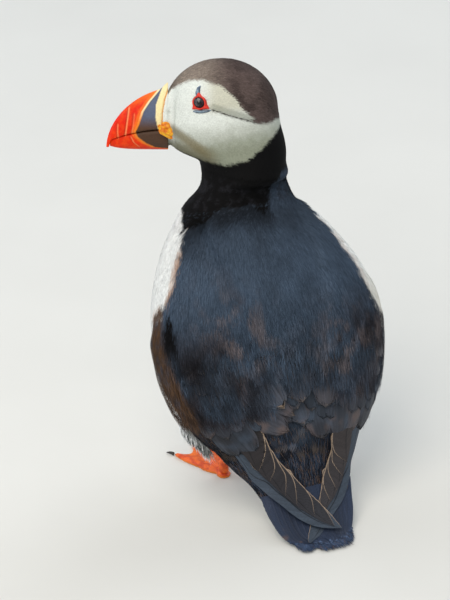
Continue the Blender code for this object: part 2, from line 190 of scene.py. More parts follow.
def smooth(low, high, value):
    t = np.clip((value - low) / (high - low), 0, 1)
    return t * t * (3 - 2 * t)


def bell(away, width):
    # 1 in the middle, falling off softly on both sides
    return np.exp(-(away / width) ** 2)


def unit(v):
    return v / np.maximum(np.linalg.norm(v, axis=-1, keepdims=True), 1e-9)


def headAxes(turn):
    flat = Matrix.Rotation(math.radians(turn), 3, "Z")
    both = flat @ Matrix.Rotation(-math.radians(bird["roll"]) * turn / bird["turn"], 3, "Y")
    return [np.array(both @ Vector(axis)) for axis in ((1, 0, 0), (0, 1, 0), (0, 0, 1))]


def bodyRows():
    # each station: centre, side axis, back axis, half width, back depth, belly depth, egg
    rows = []
    for i, (x, y, z, lean, width, back, belly) in enumerate(bird["body"]):
        spine = Vector((0, -math.cos(math.radians(lean)), math.sin(math.radians(lean))))
        side = Vector((1, 0, 0))
        if i > bird["shoulder"]:
            side = Matrix.Rotation(math.radians(bird["neckTwist"]), 3, spine) @ side
        rows.append((x, y, z, *side, *spine.cross(side), width, back, belly, 0))
    centre = np.array(bird["headCentre"])
    _, headBack, headUp = headAxes(bird["turn"])
    for height, forward, length, width, twist in bird["throat"]:
        side, backward, _ = headAxes(twist)
        middle = centre + headUp * height - headBack * forward
        egg = bird["egg"] * twist / bird["turn"]
        rows.append((*middle, *side, *backward, width, length, length, egg))
    side, backward, up = headAxes(bird["turn"])
    rise, length, width, rings = bird["crown"]
    footUp, footBack = bird["crownFoot"]
    for i in range(rings + 1):
        q = math.radians(90 * i / rings)
        middle = centre + up * (footUp + rise * math.sin(q)) + backward * footBack
        reach = length * math.cos(q)
        rows.append((*middle, *side, *backward, width * math.cos(q), reach, reach, bird["egg"]))
    return np.array(rows)


rowTable = bodyRows()
top = len(rowTable) - 1
shift = np.array([bird["origin"][0], bird["origin"][1], 0.0])


def splineAt(rows, t):
    # Catmull-Rom curve through rows of numbers
    last = len(rows) - 1
    i = np.minimum(t.astype(int), last - 1)
    f = (t - i)[..., None]
    p0, p1 = rows[np.maximum(i - 1, 0)], rows[i]
    p2, p3 = rows[i + 1], rows[np.minimum(i + 2, last)]
    m1, m2 = (p2 - p0) / 2, (p3 - p1) / 2
    return (((2 * p1 - 2 * p2 + m1 + m2) * f - 3 * p1 + 3 * p2 - 2 * m1 - m2) * f + m1) * f + p1


def rowsAt(s):
    return splineAt(rowTable, np.clip(s, 0, top))


def bodyPoint(s, theta):
    # millimetres in the shared frame; theta runs from the back towards the left side
    s, theta = np.broadcast_arrays(np.asarray(s, float), np.asarray(theta, float))
    row = rowsAt(s)
    side = row[..., 3:6] / np.linalg.norm(row[..., 3:6], axis=-1, keepdims=True)
    back = row[..., 6:9] / np.linalg.norm(row[..., 6:9], axis=-1, keepdims=True)
    c, q = np.cos(theta), np.sin(theta)
    across = row[..., 9] * q * (1 + row[..., 12] * c)
    deep = np.where(c > 0, row[..., 10], row[..., 11]) * c
    return row[..., 0:3] + side * across[..., None] + back * deep[..., None] - shift


def bodyNormal(s, theta):
    ahead = np.minimum(s + 0.06, top - 0.03)
    along = bodyPoint(ahead, theta) - bodyPoint(ahead - 0.12, theta)
    around = bodyPoint(s, theta + 0.04) - bodyPoint(s, theta - 0.04)
    return unit(np.cross(along, around))


def wingBulge(s, theta):
    # how far the folded wing stands off the body
    rows = np.array(bird["wing"])
    back, front = (np.interp(s, rows[:, 0], rows[:, i]) for i in (1, 2))
    thick = np.interp(s, rows[:, 0], rows[:, 3], 0, 0)
    a = (np.abs(np.degrees(theta)) - back) / (front - back)
    soft = smooth(10.0, 10.8, s)
    dome = np.clip(np.sin(np.pi * np.clip(a, 0, 1)), 0, 1) ** (0.5 + 0.7 * soft * (a > 0.5))
    lift = (bird["wingLift"] + 0.7) * smooth(0, 1.5, thick) + np.maximum(thick - 0.7, 0) * dome
    return lift * smooth(-0.1, 0.06, a) * smooth(1.03, 0.9 - 0.4 * soft, a)


def outerPoint(s, theta, height=0.0):
    lift = wingBulge(s, theta) + height
    return bodyPoint(s, theta) + bodyNormal(s, theta) * lift[..., None]


headSide, headBack, headUp = headAxes(bird["turn"])
headMiddle = np.array(bird["headCentre"]) - shift


def toHead(points):
    # millimetres to (left side, forward, up) of the head
    d = points - headMiddle
    return np.stack([d @ headSide, -(d @ headBack), d @ headUp], -1)


def fromHead(side, forward, up):
    side, forward, up = np.broadcast_arrays(side, forward, up)
    return headMiddle + side[..., None] * headSide - forward[..., None] * headBack + up[..., None] * headUp


def cellCorners(base, f):
    # the eight corners of each cell of a grid, each with its weight
    for corner in range(8):
        step = np.array([corner & 1, corner >> 1 & 1, corner >> 2 & 1])
        yield base + step, np.prod(np.where(step, f, 1 - f), -1)


scramble = {"axes": np.array([127.1, 311.7, 74.7]), "size": 43758.5453}  # spreads the noise evenly


def mottle(points, size, seed):
    # smooth noise of a real size in millimetres, 0 to 1
    spot = points / size + seed * 7.31
    base = np.floor(spot)
    f = spot - base
    total = 0
    for cell, weight in cellCorners(base, f * f * (3 - 2 * f)):
        value = np.sin(cell @ scramble["axes"] + seed) * scramble["size"]
        total = total + weight * (value - np.floor(value))
    return total


def patches(points, size, seed, low, high):
    # mottling with soft edges: 0 below low, 1 above high
    return smooth(low, high, mottle(points, size, seed))


def meshFrom(name, verts, faces, uvs, tones):
    # verts in millimetres, faces an array of triangles or quads, uvs (or None) and tones per vertex
    mesh = bpy.data.meshes.new(name)
    faces = np.asarray(faces)
    corners = faces.shape[1]
    mesh.vertices.add(len(verts))
    mesh.vertices.foreach_set("co", (np.asarray(verts) * milli).astype(np.float32).ravel())
    mesh.loops.add(faces.size)
    mesh.loops.foreach_set("vertex_index", faces.astype(np.int32).ravel())
    mesh.polygons.add(len(faces))
    mesh.polygons.foreach_set("loop_start", np.arange(0, faces.size, corners, dtype=np.int32))
    mesh.update(calc_edges=True)
    if uvs is not None:
        layer = mesh.uv_layers.new(name="OFBake")
        layer.data.foreach_set("uv", uvs[faces.ravel()].astype(np.float32).ravel())
    paint(mesh, tones)
    mesh.polygons.foreach_set("use_smooth", np.ones(len(faces), bool))
    ob = bpy.data.objects.new(name, mesh)
    bpy.context.scene.collection.objects.link(ob)
    return ob


def paint(mesh, tones):
    layer = mesh.color_attributes.get("tone") or mesh.color_attributes.new("tone", "FLOAT_COLOR", "POINT")
    rows = np.column_stack([tones, np.ones(len(tones))])
    layer.data.foreach_set("color", rows.astype(np.float32).ravel())


def readAll(items, key, width):
    # one value of every vertex or face, as rows
    data = np.empty(len(items) * width, np.float32)
    items.foreach_get(key, data)
    return data.reshape(-1, width).astype(float)


def tonesOf(mesh):
    return readAll(mesh.color_attributes["tone"].data, "color", 4)[:, :3]


def pointsOf(mesh):
    return readAll(mesh.vertices, "co", 3) / milli


def sphereMesh(name, rings, segments, place, tones=None):
    # closed piece from a ball: place(ring 0..rings, angle) gives every point in millimetres
    bm = bmesh.new()
    bmesh.ops.create_uvsphere(bm, u_segments=segments, v_segments=rings, radius=1)
    mesh = bpy.data.meshes.new(name)
    bm.to_mesh(mesh)
    bm.free()
    co = pointsOf(mesh) * milli
    ring = np.round(np.arccos(np.clip(co[:, 2], -1, 1)) / math.pi * rings)
    angle = np.arctan2(co[:, 1], co[:, 0])
    moved = place(ring, angle)
    mesh.vertices.foreach_set("co", (moved * milli).astype(np.float32).ravel())
    mesh.update()
    bm = bmesh.new()
    bm.from_mesh(mesh)
    bmesh.ops.scale(bm, vec=[1 / milli] * 3, verts=bm.verts)  # a volume in cubic metres would be too small
    if bm.calc_volume(signed=True) < 0:
        bmesh.ops.reverse_faces(bm, faces=bm.faces)
    bmesh.ops.scale(bm, vec=[milli] * 3, verts=bm.verts)
    bm.to_mesh(mesh)
    bm.free()
    mesh.shade_smooth()
    if tones is not None:
        paint(mesh, tones(moved))
    ob = bpy.data.objects.new(name, mesh)
    bpy.context.scene.collection.objects.link(ob)
    return ob


def surfaceField(verts, faces, cell, reach):
    # signed distance to a shape on a grid, read back smoothly with its normal
    tree = BVHTree.FromPolygons([Vector(v) for v in verts], [tuple(f) for f in faces])
    low = verts.min(0) - reach
    counts = np.ceil((verts.max(0) + reach - low) / cell).astype(int) + 1
    grid = np.full(counts, float(reach))
    for i in range(counts[0]):
        for j in range(counts[1]):
            for k in range(counts[2]):
                spot = Vector((low[0] + i * cell, low[1] + j * cell, low[2] + k * cell))
                near, normal, _, distance = tree.find_nearest(spot, reach)
                if near is not None:
                    grid[i, j, k] = math.copysign(distance, (spot - near).dot(normal))
    slopes = np.stack(np.gradient(grid, cell) + [grid], -1).reshape(-1, 4)
    strides = np.array([counts[1] * counts[2], counts[2], 1])

    def read(points):
        spot = np.clip((points - low) / cell, 0, counts - 1.001)
        base = spot.astype(int)
        total = 0
        for corner, weight in cellCorners(base, spot - base):
            total = total + weight[..., None] * slopes[corner @ strides]
        n = total[..., :3]
        return total[..., 3], n / np.maximum(np.linalg.norm(n, axis=-1, keepdims=True), 1e-6)

    return read


def settle(field, points, height):
    # moves points to a height over the surface
    for _ in range(2):
        d, n = field(points)
        points = points - n * (d - height)[..., None]
    return points


chartStep = 1.5  # degrees between the columns of the chart
gridS = np.linspace(0.02, top - 0.02, 500)
gridT = np.radians(np.arange(-180, 180, chartStep))
mapS, mapT = np.meshgrid(gridS, gridT, indexing="ij")
mapP = outerPoint(mapS, mapT)
rowCount, columnCount = mapS.shape
index = np.arange(rowCount * columnCount).reshape(rowCount, columnCount)
nextT = np.roll(index, -1, axis=1)
gridFaces = np.stack([index[:-1], nextT[:-1], nextT[1:], index[1:]], -1).reshape(-1, 4)
gridVerts = mapP.reshape(-1, 3)
midRow = mapP[rowCount // 2]  # its first face shows whether the faces look outward
upward = mapP[rowCount // 2 + 1, 0] - midRow[0]
if np.cross(midRow[1] - midRow[0], upward) @ (midRow[0] - midRow.mean(0)) < 0:
    gridFaces = gridFaces[:, ::-1]
bodyField = surfaceField(gridVerts, gridFaces, 2.5, 14.0)
print("body surface ready")

# markings

shade = {
    "cap": "#5a4d4a", "capHighlight": "#9a8e82", "cheek": "#e6ebe6", "cheekUpper": "#cfcfbf",
    "cheekShade": "#7c826a", "stripe": "#857c5e", "crease": "#2e2a22", "collar": "#070708",
    "collarHighlight": "#26262b", "back": "#2b333e", "backSheen": "#4b5b6f", "backTip": "#5d6d80",
    "brown": "#746867", "dark": "#121115", "white": "#eef1f1", "cream": "#e6dac2", "tan": "#a07a62",
    "flank": "#56402f", "rump": "#12131a", "rumpBlue": "#3d485a", "tail": "#2b364c",
    "tailTip": "#5d7396", "tailBrown": "#6a564c", "wingBrown": "#322a2b", "edge": "#a8927c",
    "orange": "#f2681c", "plume": "#353c47", "wornTip": "#665856",
}
colour = {key: linear(value) for key, value in shade.items()}


def curve(points, x):
    x0, y0 = zip(*sorted(points))
    return np.interp(x, x0, y0)


capLine = [
    (31.8, 11.2), (24, 17.4), (18, 20.6), (12, 21.9), (0, 19.1), (-7.8, 12.8), (-14.4, 3.7), (-21.6, -2.8),
    (-27, -3.4), (-32, -2.0), (-40, 0.0),
]
chinLine = [
    (-38, -3.6), (-34.8, -6.6), (-27, -14.6), (-15.6, -23.8), (-2.4, -27.3), (10.8, -26.5), (26.4, -21.6),
    (34, -19),
]
collarLine = [
    (-180, 13.3), (-110, 13.4), (-85, 14.3), (-62, 15.9), (-38, 15.9), (-26, 14.8), (-17, 13.3), (-9, 13.0),
    (5, 13.3), (16, 13.5), (30, 13.4), (44, 13.5), (50, 12.95), (63, 12.7), (85, 13.0), (104, 13.3),
    (180, 13.3),
]
mantleEdge = [(12.5, -18), (13.3, -14), (14, 0), (14.9, 17), (15.3, 24), (15.7, 22), (16.3, 18)]
whiteLeft = [
    (0, 96), (7, 104), (8, 109), (9.6, 110), (9.95, 105), (10.3, 96), (10.75, 92), (10.9, 82), (11.02, 70),
    (11.3, 64), (11.8, 62), (12.7, 63), (13.2, 82), (14, 95),
]
whiteRight = [
    (0, 96), (7, 100), (8, 103), (9.5, 100), (9.8, 74), (10, 62), (10.4, 55.5), (10.9, 52.5), (11.6, 52.5),
    (12.3, 54.5), (13.0, 67), (14, 80),
]
# middle and reach as station, middle and reach as angle, strength
wornSpots = [
    (10.0, 0.75, 22, 14, 1.0), (9.4, 0.8, -27, 15, 0.9), (9.5, 0.6, -57, 12, 0.6), (10.8, 0.7, 38, 12, 0.4),
]


def mix(a, b, t):
    return a + (b - a) * np.asarray(t)[..., None]


def creaseAt(f):
    # height of the fold that runs back from the eye
    return 6.3 + (f - 6.6) * 0.30


def whiteBorder(s, deg):
    # angle at which the white of the breast begins
    return np.where(deg > 0, curve(whiteLeft, s), curve(whiteRight, s))


def spotOn(s, deg, s0, high, deg0, broad):
    return np.exp(-((s - s0) / high) ** 2 - ((deg - deg0) / broad) ** 2)


def headTone(points):
    _, f, h = toHead(points).T
    wobble = (mottle(points, 2.2, 3) - 0.5) * 1.6
    cheek = mix(colour["cheek"], colour["cheekUpper"], smooth(1, 9, h) * smooth(14, 2, f))
    # painted shade on the lower cheek, tinted olive as a painted reflection of green light from below
    low = smooth(3, -21, h + wobble * 2 + 0.18 * f) * smooth(32, 24, f)
    cheek = mix(cheek, colour["cheekShade"], 0.85 * low)
    # the grey band that runs back from the gape below the jaw, and the grey chin: partly the bird's own
    # grey, partly painted shade under the jaw
    stripe = smooth(5.5, 1.0, np.abs(h - (-9 - 0.62 * (27 - f)))) * smooth(4, 12, f) * smooth(31, 26, f)
    cheek = mix(cheek, colour["stripe"], 0.8 * stripe)
    chin = smooth(-14, -21, h - 0.12 * (f - 10)) * smooth(-2, 8, f) * smooth(33, 28, f)
    cheek = mix(cheek, colour["stripe"] * 0.8, 0.6 * chin)
    over = h - creaseAt(f)
    # a soft painted shade just above the fold that runs back from the eye
    ledge = bell(over - 1.6, 1.6) * (over > 0) * smooth(-26, -18, f) * smooth(7, 3, f)
    cheek = mix(cheek, colour["cheekShade"] * 0.8, 0.5 * ledge)
    # a dark painted shadow in the fold itself
    fold = bell(over + 0.2, 0.85) * smooth(-25, -17, f) * smooth(7.5, 5.5, f)
    cheek = mix(cheek, colour["crease"], np.clip(1.25 * fold, 0, 0.97))
    cap = mix(colour["cap"], colour["cap"] * 0.6, patches(points, 5, 4, 0.35, 0.75) * smooth(14, -10, f))
    # painted highlight: the cap lighter at the front and on top, where the light falls on it
    brow = (0.75 * smooth(-8, 18, f) + 0.2 * smooth(18, 28, f)) * smooth(10, 20, h)
    cap = mix(cap, colour["capHighlight"], brow)
    tone = mix(cheek, cap, smooth(-1.1, 1.1, h - curve(capLine, f) + wobble * 0.8))
    tone = mix(tone, cap, smooth(-0.6, 0.6, f - 30.4 - wobble * 0.4) * smooth(8, 12, h))
    return mix(tone, colour["collar"], smooth(0.9, -0.9, h - curve(chinLine, f) + wobble * 0.7))


def bodyTone(s, deg, points):
    # colour of the coat from where a feather grows
    a = np.abs(deg)
    left = deg > 0
    wob = mottle(points, 3.0, 5) - 0.5
    wide = mottle(points, 14.0, 6)
    streaked = points * np.array([1, 0.6, 0.45])
    # painted blue sheen on the slate back, strongest across the shoulders and in patches
    blue = 0.15 + 0.55 * bell(s - 10.9, 1.2) + 0.3 * patches(points, 12, 7, 0.3, 0.8)
    back = mix(colour["back"], colour["backSheen"], blue)
    wing = smooth(11.0, 9.6, s) * smooth(8, 34, a)
    back = mix(back, colour["wingBrown"], 0.75 * wing * smooth(0.35, 0.6, wide))
    worn = sum(share * spotOn(s, deg, *spot) for *spot, share in wornSpots)
    worn = np.clip(worn * 1.15, 0, 1) * patches(points, 5.0, 8, 0.40, 0.68)
    back = mix(back, colour["brown"], worn * 0.7)
    # painted shade in the hollows between streaks of back feathers
    hollowShade = patches(streaked, 4.2, 12, 0.52, 0.74) * smooth(10.7, 9.7, s) * smooth(4, 22, a)
    back = mix(back, colour["dark"], 0.55 * hollowShade)
    sheen = patches(streaked, 5.0, 13, 0.55, 0.78) * smooth(10.4, 9.4, s)
    back = mix(back, colour["backSheen"] * 1.1, 0.45 * sheen)
    back = mix(back, colour["dark"], spotOn(s, deg, 9.6, 0.5, 53, 12) * 0.9)
    rump = mix(colour["rump"], colour["rumpBlue"], patches(points, 3, 9, 0.45, 0.8))
    back = mix(back, rump, smooth(8.2, 7.4, s) * smooth(100, 80, a))
    # painted shadow in the gap along the wing's front edge, and the brown flank before it
    gap = smooth(1.3, 0.6, np.abs(deg - 66.5 + wob * 3) / (1.5 + 4.5 * smooth(10.85, 10.2, s)))
    gap = gap * smooth(10.95, 10.75, s) * smooth(9.3, 10.3, s)
    back = mix(back, colour["dark"] * 0.5, gap)
    flank = smooth(64, 70, deg + 4 * (9.4 - s) + wob * 4) * smooth(113, 106, deg)
    flank = flank * smooth(11.2, 11.0, s) * smooth(8.3, 8.9, s)
    flank = flank * (1 - gap) * (0.35 + 0.65 * patches(points, 3.5, 10, 0.25, 0.6))
    back = mix(back, colour["flank"], flank)
    back = mix(back, colour["dark"], smooth(66, 72, a) * smooth(8.6, 8.2, s))
    # white front, creamy at the right and tan where it meets the wing
    past = a - (whiteBorder(s + wob * 0.22, deg) + wob * 5)
    cream = np.where(left, 0.1, 0.1 + 0.4 * smooth(11.4, 10, s) * smooth(115, 80, a))
    white = mix(colour["white"], colour["cream"], cream)
    fringe = smooth(9, 2, past) * smooth(12.6, 11.9, s) * smooth(10.5, 10.8, s) * np.where(left, 0.85, 0.3)
    white = mix(white, colour["tan"], fringe * patches(points, 3, 11, 0.15, 0.5))
    tone = mix(back, white, smooth(-0.8, 0.8, past))
    # black collar, fading into the back
    above = s - curve(collarLine, deg) + wob * 0.12
    fade = 0.72 * smooth(-0.95, 0.0, above + (wide - 0.5) * 0.5) * smooth(74, 56, a)
    tone = mix(tone, colour["collar"], np.maximum(fade, smooth(-0.05, 0.05, above)))
    tone = mix(tone, headTone(points), smooth(15.3, 15.8, s))
    # the slate back with its painted blue sheen, carried up the right side of the neck
    mantle = smooth(2, -2, deg - curve(mantleEdge, s) + wob * 3) * smooth(-66, -58, deg)
    mantle = mantle * smooth(12.9, 13.2, s) * smooth(16.3, 15.7, s)
    return mix(tone, mix(colour["back"], colour["backSheen"], 0.35), mantle)


def nearestChart(points):
    # station and angle of the nearest place on the body
    tree = KDTree(len(gridVerts))
    for i, spot in enumerate(gridVerts):
        tree.insert(spot, i)
    tree.balance()
    found = np.array([tree.find(p)[1] for p in points])
    return mapS.ravel()[found], np.degrees(mapT.ravel()[found])


# materials


def toneMaterial(name, roughness, low, high, grain, bump, coat=0.0, specular=0.4):
    # painted tone broken by a fine grain of a real size, which also lifts the surface a little
    material, tree, shader = newMaterial(name)
    tone = addNode(tree, "ShaderNodeAttribute", {"attribute_name": "tone"})
    place = addNode(tree, "ShaderNodeTexCoord")
    noise = addNode(tree, "ShaderNodeTexNoise", {"Scale": 1 / grain, "Detail": 4.0, "Roughness": 0.6},
                    {"Vector": place.outputs["Object"]})
    spread = {"From Min": 0.3, "From Max": 0.7, "To Min": low, "To Max": high}
    level = addNode(tree, "ShaderNodeMapRange", spread, {"Value": noise.outputs["Fac"]})
    mixed = addNode(tree, "ShaderNodeMix", {"data_type": "RGBA", "blend_type": "MULTIPLY", 0: 1.0})
    tree.links.new(tone.outputs["Color"], mixed.inputs[6])
    tree.links.new(level.outputs["Result"], mixed.inputs[7])
    tree.links.new(mixed.outputs[2], shader.inputs["Base Color"])
    lift = addNode(tree, "ShaderNodeBump", {"Strength": bump, "Distance": 0.0002},
                   {"Height": noise.outputs["Fac"]})
    tree.links.new(lift.outputs["Normal"], shader.inputs["Normal"])
    shader.inputs["Roughness"].default_value = roughness
    shader.inputs["Specular IOR Level"].default_value = specular
    shader.inputs["Coat Weight"].default_value = coat
    shader.inputs["Coat Roughness"].default_value = 0.04
    return material


materials = {
    # loose barbs scatter light, so plumage stays matt and shows no bright spots
    "down": toneMaterial("soft contour feather", 0.75, 0.88, 1.10, 0.0009, 0.25, specular=0.12),
    # stiff vanes lie flat and shine slightly along their barbs
    "vane": toneMaterial("stiff flight feather vane", 0.5, 0.86, 1.12, 0.0006, 0.3, specular=0.25),
    # bare scaled skin, slightly waxy
    "skin": toneMaterial("scaled foot skin", 0.5, 0.82, 1.12, 0.0009, 0.6, specular=0.5),
    # keratin plates with a worn satin face
    "horn": toneMaterial("grooved bill keratin", 0.42, 0.88, 1.08, 0.0012, 0.25, specular=0.16),
    # fleshy ring and fold, fine creases
    "flesh": toneMaterial("wrinkled gape skin", 0.5, 0.85, 1.1, 0.0007, 0.5, specular=0.45),
    # wet cornea, a clear film over the iris
    "eye": toneMaterial("wet eye", 0.15, 0.97, 1.03, 0.001, 0.0, coat=0.35, specular=0.3),
    # dark horn with a dull gleam
    "claw": toneMaterial("claw keratin", 0.35, 0.85, 1.1, 0.0005, 0.2, specular=0.5),
}


def finishPiece(ob, material, slot, replaced=()):
    # its finish, its slot (which is not used) and the solids that it stands for
    ob.data.materials.clear()
    ob.data.materials.append(materials[material])
    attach(ob, "root")
    if replaced:
        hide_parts(*replaced)


# one skin with the legs

eye = {
    "side": 15.5, "forward": 11.0, "up": 8.8, "radius": 4.5, "iris": 2.75, "pupil": 1.4, "lid": 3.0,
    "socket": (1.6, 3.2, 4.6),  # depth, full as far as, none beyond
    "hole": (8.6, 4.3),  # height and radius of the place that feathers leave free
}
legs = {
    "heel": (27.0, -80.0, 25.0), "hip": (27.0, -80.0, 52.0), "thigh": 13.0, "tarsus": 2.9,
    "foot": (28.0, -86.0), "toes": [(-22.0, 33.0), (4.0, 41.0), (32.0, 38.0)],  # spread and length
    "web": 1.3, "toe": 3.2, "heelPad": (16.5, 9.0, 4.5), "scale": 1.9, "voxel": 0.55,
    "underDown": 1.6,  # the thigh's skin lies this far under its feathers
}
skinRings = 240


def coatDepth(s):
    # how deep the skin lies under the feathers, less where the body is thin
    thin = np.minimum(rowsAt(s)[..., 10], rowsAt(s)[..., 11])
    deep = 2.2 - 1.6 * smooth(15.0, 15.8, s)
    return np.minimum(deep, 0.4 * thin + 0.1 * (s > 5) * thin)


def skinPlace(ring, angle):
    s = 0.9 + ring / skinRings * (top - 0.9)
    point = outerPoint(s, angle, -coatDepth(s))
    axis = rowsAt(s)[:, :3] - shift
    inset = np.where(s < 4.6, 0.86, 1.0) * np.clip(ring / 5, 0, 1) ** 0.5
    point = axis + (point - axis) * inset[:, None]
    side, f, h = toHead(point).T
    depth, full, none = eye["socket"]
    away = np.hypot(f - eye["forward"], h - eye["up"])
    socket = depth * smooth(none, full, away) * (np.abs(side) > 8)
    point = point - np.sign(side)[:, None] * headSide * socket[:, None]
    point[:, 2] = np.maximum(point[:, 2], 0.15)
    return point


def limbMesh(name, stops, rings, segments, ripple=0.0):
    # a limb through stops of x, y, z and radius, ringed with scales at its front
    stops = np.array(stops)
    ends = len(stops) - 1

    def place(ring, angle):
        t = ring / rings * ends
        here = splineAt(stops, t)
        ahead = np.minimum(t + 0.05, ends)
        d = (splineAt(stops, ahead) - splineAt(stops, ahead - 0.05))[:, :3]
        d = d / np.linalg.norm(d, axis=1, keepdims=True)
        side = np.cross(d, [0, 1, 0])
        side /= np.linalg.norm(side, axis=1, keepdims=True)
        front = np.cross(d, side)
        cap = np.sqrt(np.clip(np.sin(np.pi * ring / rings) * 3, 0, 1))
        scales = ripple * np.cos(here[:, 2] * 2 * math.pi / legs["scale"]) * (np.cos(angle) ** 2)
        reach = here[:, 3] * cap * (1 + scales)
        around = side * np.cos(angle)[:, None] + front * np.sin(angle)[:, None]
        return here[:, :3] + around * reach[:, None] - shift

    return sphereMesh(name, rings, segments, place)


def footReach(degrees):
    # how far toes, web and heel reach from the ankle, by direction
    inner, middle, outer = legs["toes"]
    reach = np.zeros_like(degrees)
    for spread, length in legs["toes"]:
        reach = np.maximum(reach, length * np.exp(-(np.abs(degrees - spread) / 17.0) ** 2.2))
    first = degrees < middle[0]
    a0, l0 = np.where(first, inner[0], middle[0]), np.where(first, inner[1], middle[1])
    a1, l1 = np.where(first, middle[0], outer[0]), np.where(first, middle[1], outer[1])
    t = np.clip((degrees - a0) / (a1 - a0), 0, 1)
    web = (l0 + (l1 - l0) * t) * (1 - 0.20 * np.sin(math.pi * t))
    reach = np.maximum(reach, web)
    rear, turn, heel = legs["heelPad"]
    for (edge, length), sign in ((inner, -1), (outer, 1)):
        out = (degrees - edge) * sign
        reach = np.where(out > 0, length - (length - rear) * np.clip(out / turn, 0, 1) ** 1.2, reach)
        reach = np.where(out > turn, heel + (rear - heel) * bell(out - turn, 12.0), reach)
    return reach


def footMesh(name, mirror):
    rings, segments = 36, 180
    web = legs["web"]

    def place(ring, angle):
        half = rings // 2
        under = ring > half
        share = (np.where(under, rings - ring, ring) / half) ** 0.8
        eased = np.sign(angle) * (np.abs(angle) / math.pi) ** 1.3 * math.pi
        degrees = np.degrees(eased) * mirror
        radius = footReach(degrees) * share
        height = np.full_like(radius, web)
        for spread, length in legs["toes"]:
            offset = np.radians(np.clip(degrees - spread, -89, 89))
            miss = radius * np.sin(np.abs(offset))
            run = radius * np.cos(offset)
            scutes = 0.16 * np.abs(np.sin(run * math.pi / legs["scale"]))
            joints = 0.35 * bell(run / length - 0.62, 0.05)
            knob = (legs["toe"] - web + scutes + joints) * bell(miss, 1.9)
            height = np.maximum(height, web + knob * (1 - 0.35 * share))
        height -= 0.12 * np.abs(np.sin(radius * math.pi / 2.6)) * (height < web + 0.3)
        height = np.where(share > 0.985, np.minimum(height, 1.0), height)
        x = np.sin(eased) * radius + legs["foot"][0] * mirror
        y = -np.cos(eased) * radius + legs["foot"][1]
        return np.stack([x, y, np.where(under, 0.0, height)], 1) - shift

    return sphereMesh(name, rings, segments, place)


def applied(ob):
    # the object with its modifiers made real
    bpy.context.view_layer.update()
    mesh = bpy.data.meshes.new_from_object(ob.evaluated_get(bpy.context.evaluated_depsgraph_get()))
    old = ob.data
    ob.modifiers.clear()
    ob.data = mesh
    bpy.data.meshes.remove(old)


def joined(target, others):
    bm = bmesh.new()
    for ob in [target] + others:
        bm.from_mesh(ob.data)
    bm.to_mesh(target.data)
    bm.free()
    for ob in others:
        bpy.data.objects.remove(ob)
    return target


def makeLeg(m):
    # thigh, and shank with foot, of the left (1) or right (-1) side
    (x0, y0, z0), (x1, y1, z1), (x2, y2) = legs["hip"], legs["heel"], legs["foot"]
    thick, tarsus, under = legs["thigh"], legs["tarsus"], legs["underDown"]
    thigh = limbMesh("thighSkin", [
        (x0 * m, y0, z0, thick - under), (x0 * m, y0, z0 - 9, thick - under),
        (x1 * m, y1, z1 + 7, thick * 0.72 - under), (x1 * m, y1, z1 - 1, 3.4),
    ], 24, 40)
    shank = limbMesh("shankSkin", [
        (x1 * m, y1, z1 + 6, tarsus), (x1 * m, y1 - 1, z1 - 9, tarsus * 0.9),
        (x2 * m, y2 + 1, 10.5, tarsus * 0.95), (x2 * m, y2, 1.2, tarsus * 1.15),
    ], 60, 48, 0.05)
    leg = joined(footMesh("footSkin", m), [shank])
    remesh = leg.modifiers.new("one skin", "REMESH")
    remesh.mode = "VOXEL"
    remesh.voxel_size = legs["voxel"] * milli
    applied(leg)
    return [thigh, leg]


def makeSkin():
    skin = sphereMesh("skin", skinRings, 150, skinPlace)
    parts = makeLeg(1) + makeLeg(-1)
    for part in parts:
        cut = skin.modifiers.new("joined " + part.name, "BOOLEAN")
        cut.operation = "UNION"
        cut.solver = "EXACT"
        cut.object = part
    applied(skin)
    for part in parts:
        bpy.data.objects.remove(part)
    skin.data.shade_smooth()
    points = pointsOf(skin.data)
    s, deg = nearestChart(points)
    tones = bodyTone(s, deg, points) * (0.75 + 0.2 * smooth(15.4, 15.8, s))[:, None]
    distance, _ = bodyField(points)
    # bare orange legs, paler at the soles, with feathered thighs
    low = (points[:, 2] < 45) & (distance > -1.2) & (points[:, 1] < -2)
    creased = colour["orange"] * np.array([0.75, 0.45, 0.4])
    bare = mix(colour["orange"], creased, patches(points, 2.5, 20, 0.4, 0.7))
    bare = mix(bare, linear("#f0a020"), 0.5 * smooth(1.6, 0.6, points[:, 2]) * (points[:, 2] < 3))
    furred = mix(bare, colour["white"] * 0.75, smooth(21, 25, points[:, 2]))
    paint(skin.data, np.where(low[:, None], furred, tones))
    return skin


skin = makeSkin()
flesh = ["head", "neck", "trunk", "tail"]
flesh += [part + "_" + side for part in ("wing", "thigh", "tarsus", "foot") for side in ("left", "right")]
finishPiece(skin, "skin", "foot", flesh)
print("skin made", len(skin.data.polygons))

# laying feathers


def asArrays(**lists):
    return {key: np.array(value) for key, value in lists.items()}


def fanShape(barbs, notch):
    # a feather as barbs that leave the shaft and part at the tip: a along it (0 to 1), c across (-1 to 1)
    a, c, faces, barb = [], [], [], []
    w = 1.25 / barbs
    for b in range(barbs):
        u = (2 * b - barbs + 1) / max(barbs - 1, 1)
        reach = 1 - notch * u * u
        q = len(a)
        a += [0.0, 0.0, 0.55 * reach, 0.55 * reach, reach]
        c += [u * 0.35 - w * 0.7, u * 0.35 + w * 0.7, u * 0.9 - w, u * 0.9 + w, u * 0.72]
        faces += [(q, q + 1, q + 3), (q, q + 3, q + 2), (q + 2, q + 3, q + 4)]
        barb += [b] * 5
    return asArrays(a=a, c=c, faces=faces, barb=barb)


def hairShape():
    faces = [(0, 1, 3), (0, 3, 2), (2, 3, 4)]
    return asArrays(a=[0, 0, 0.5, 0.5, 1.0], c=[-0.6, 0.6, -1.0, 1.0, 0], faces=faces, barb=[0] * 5)


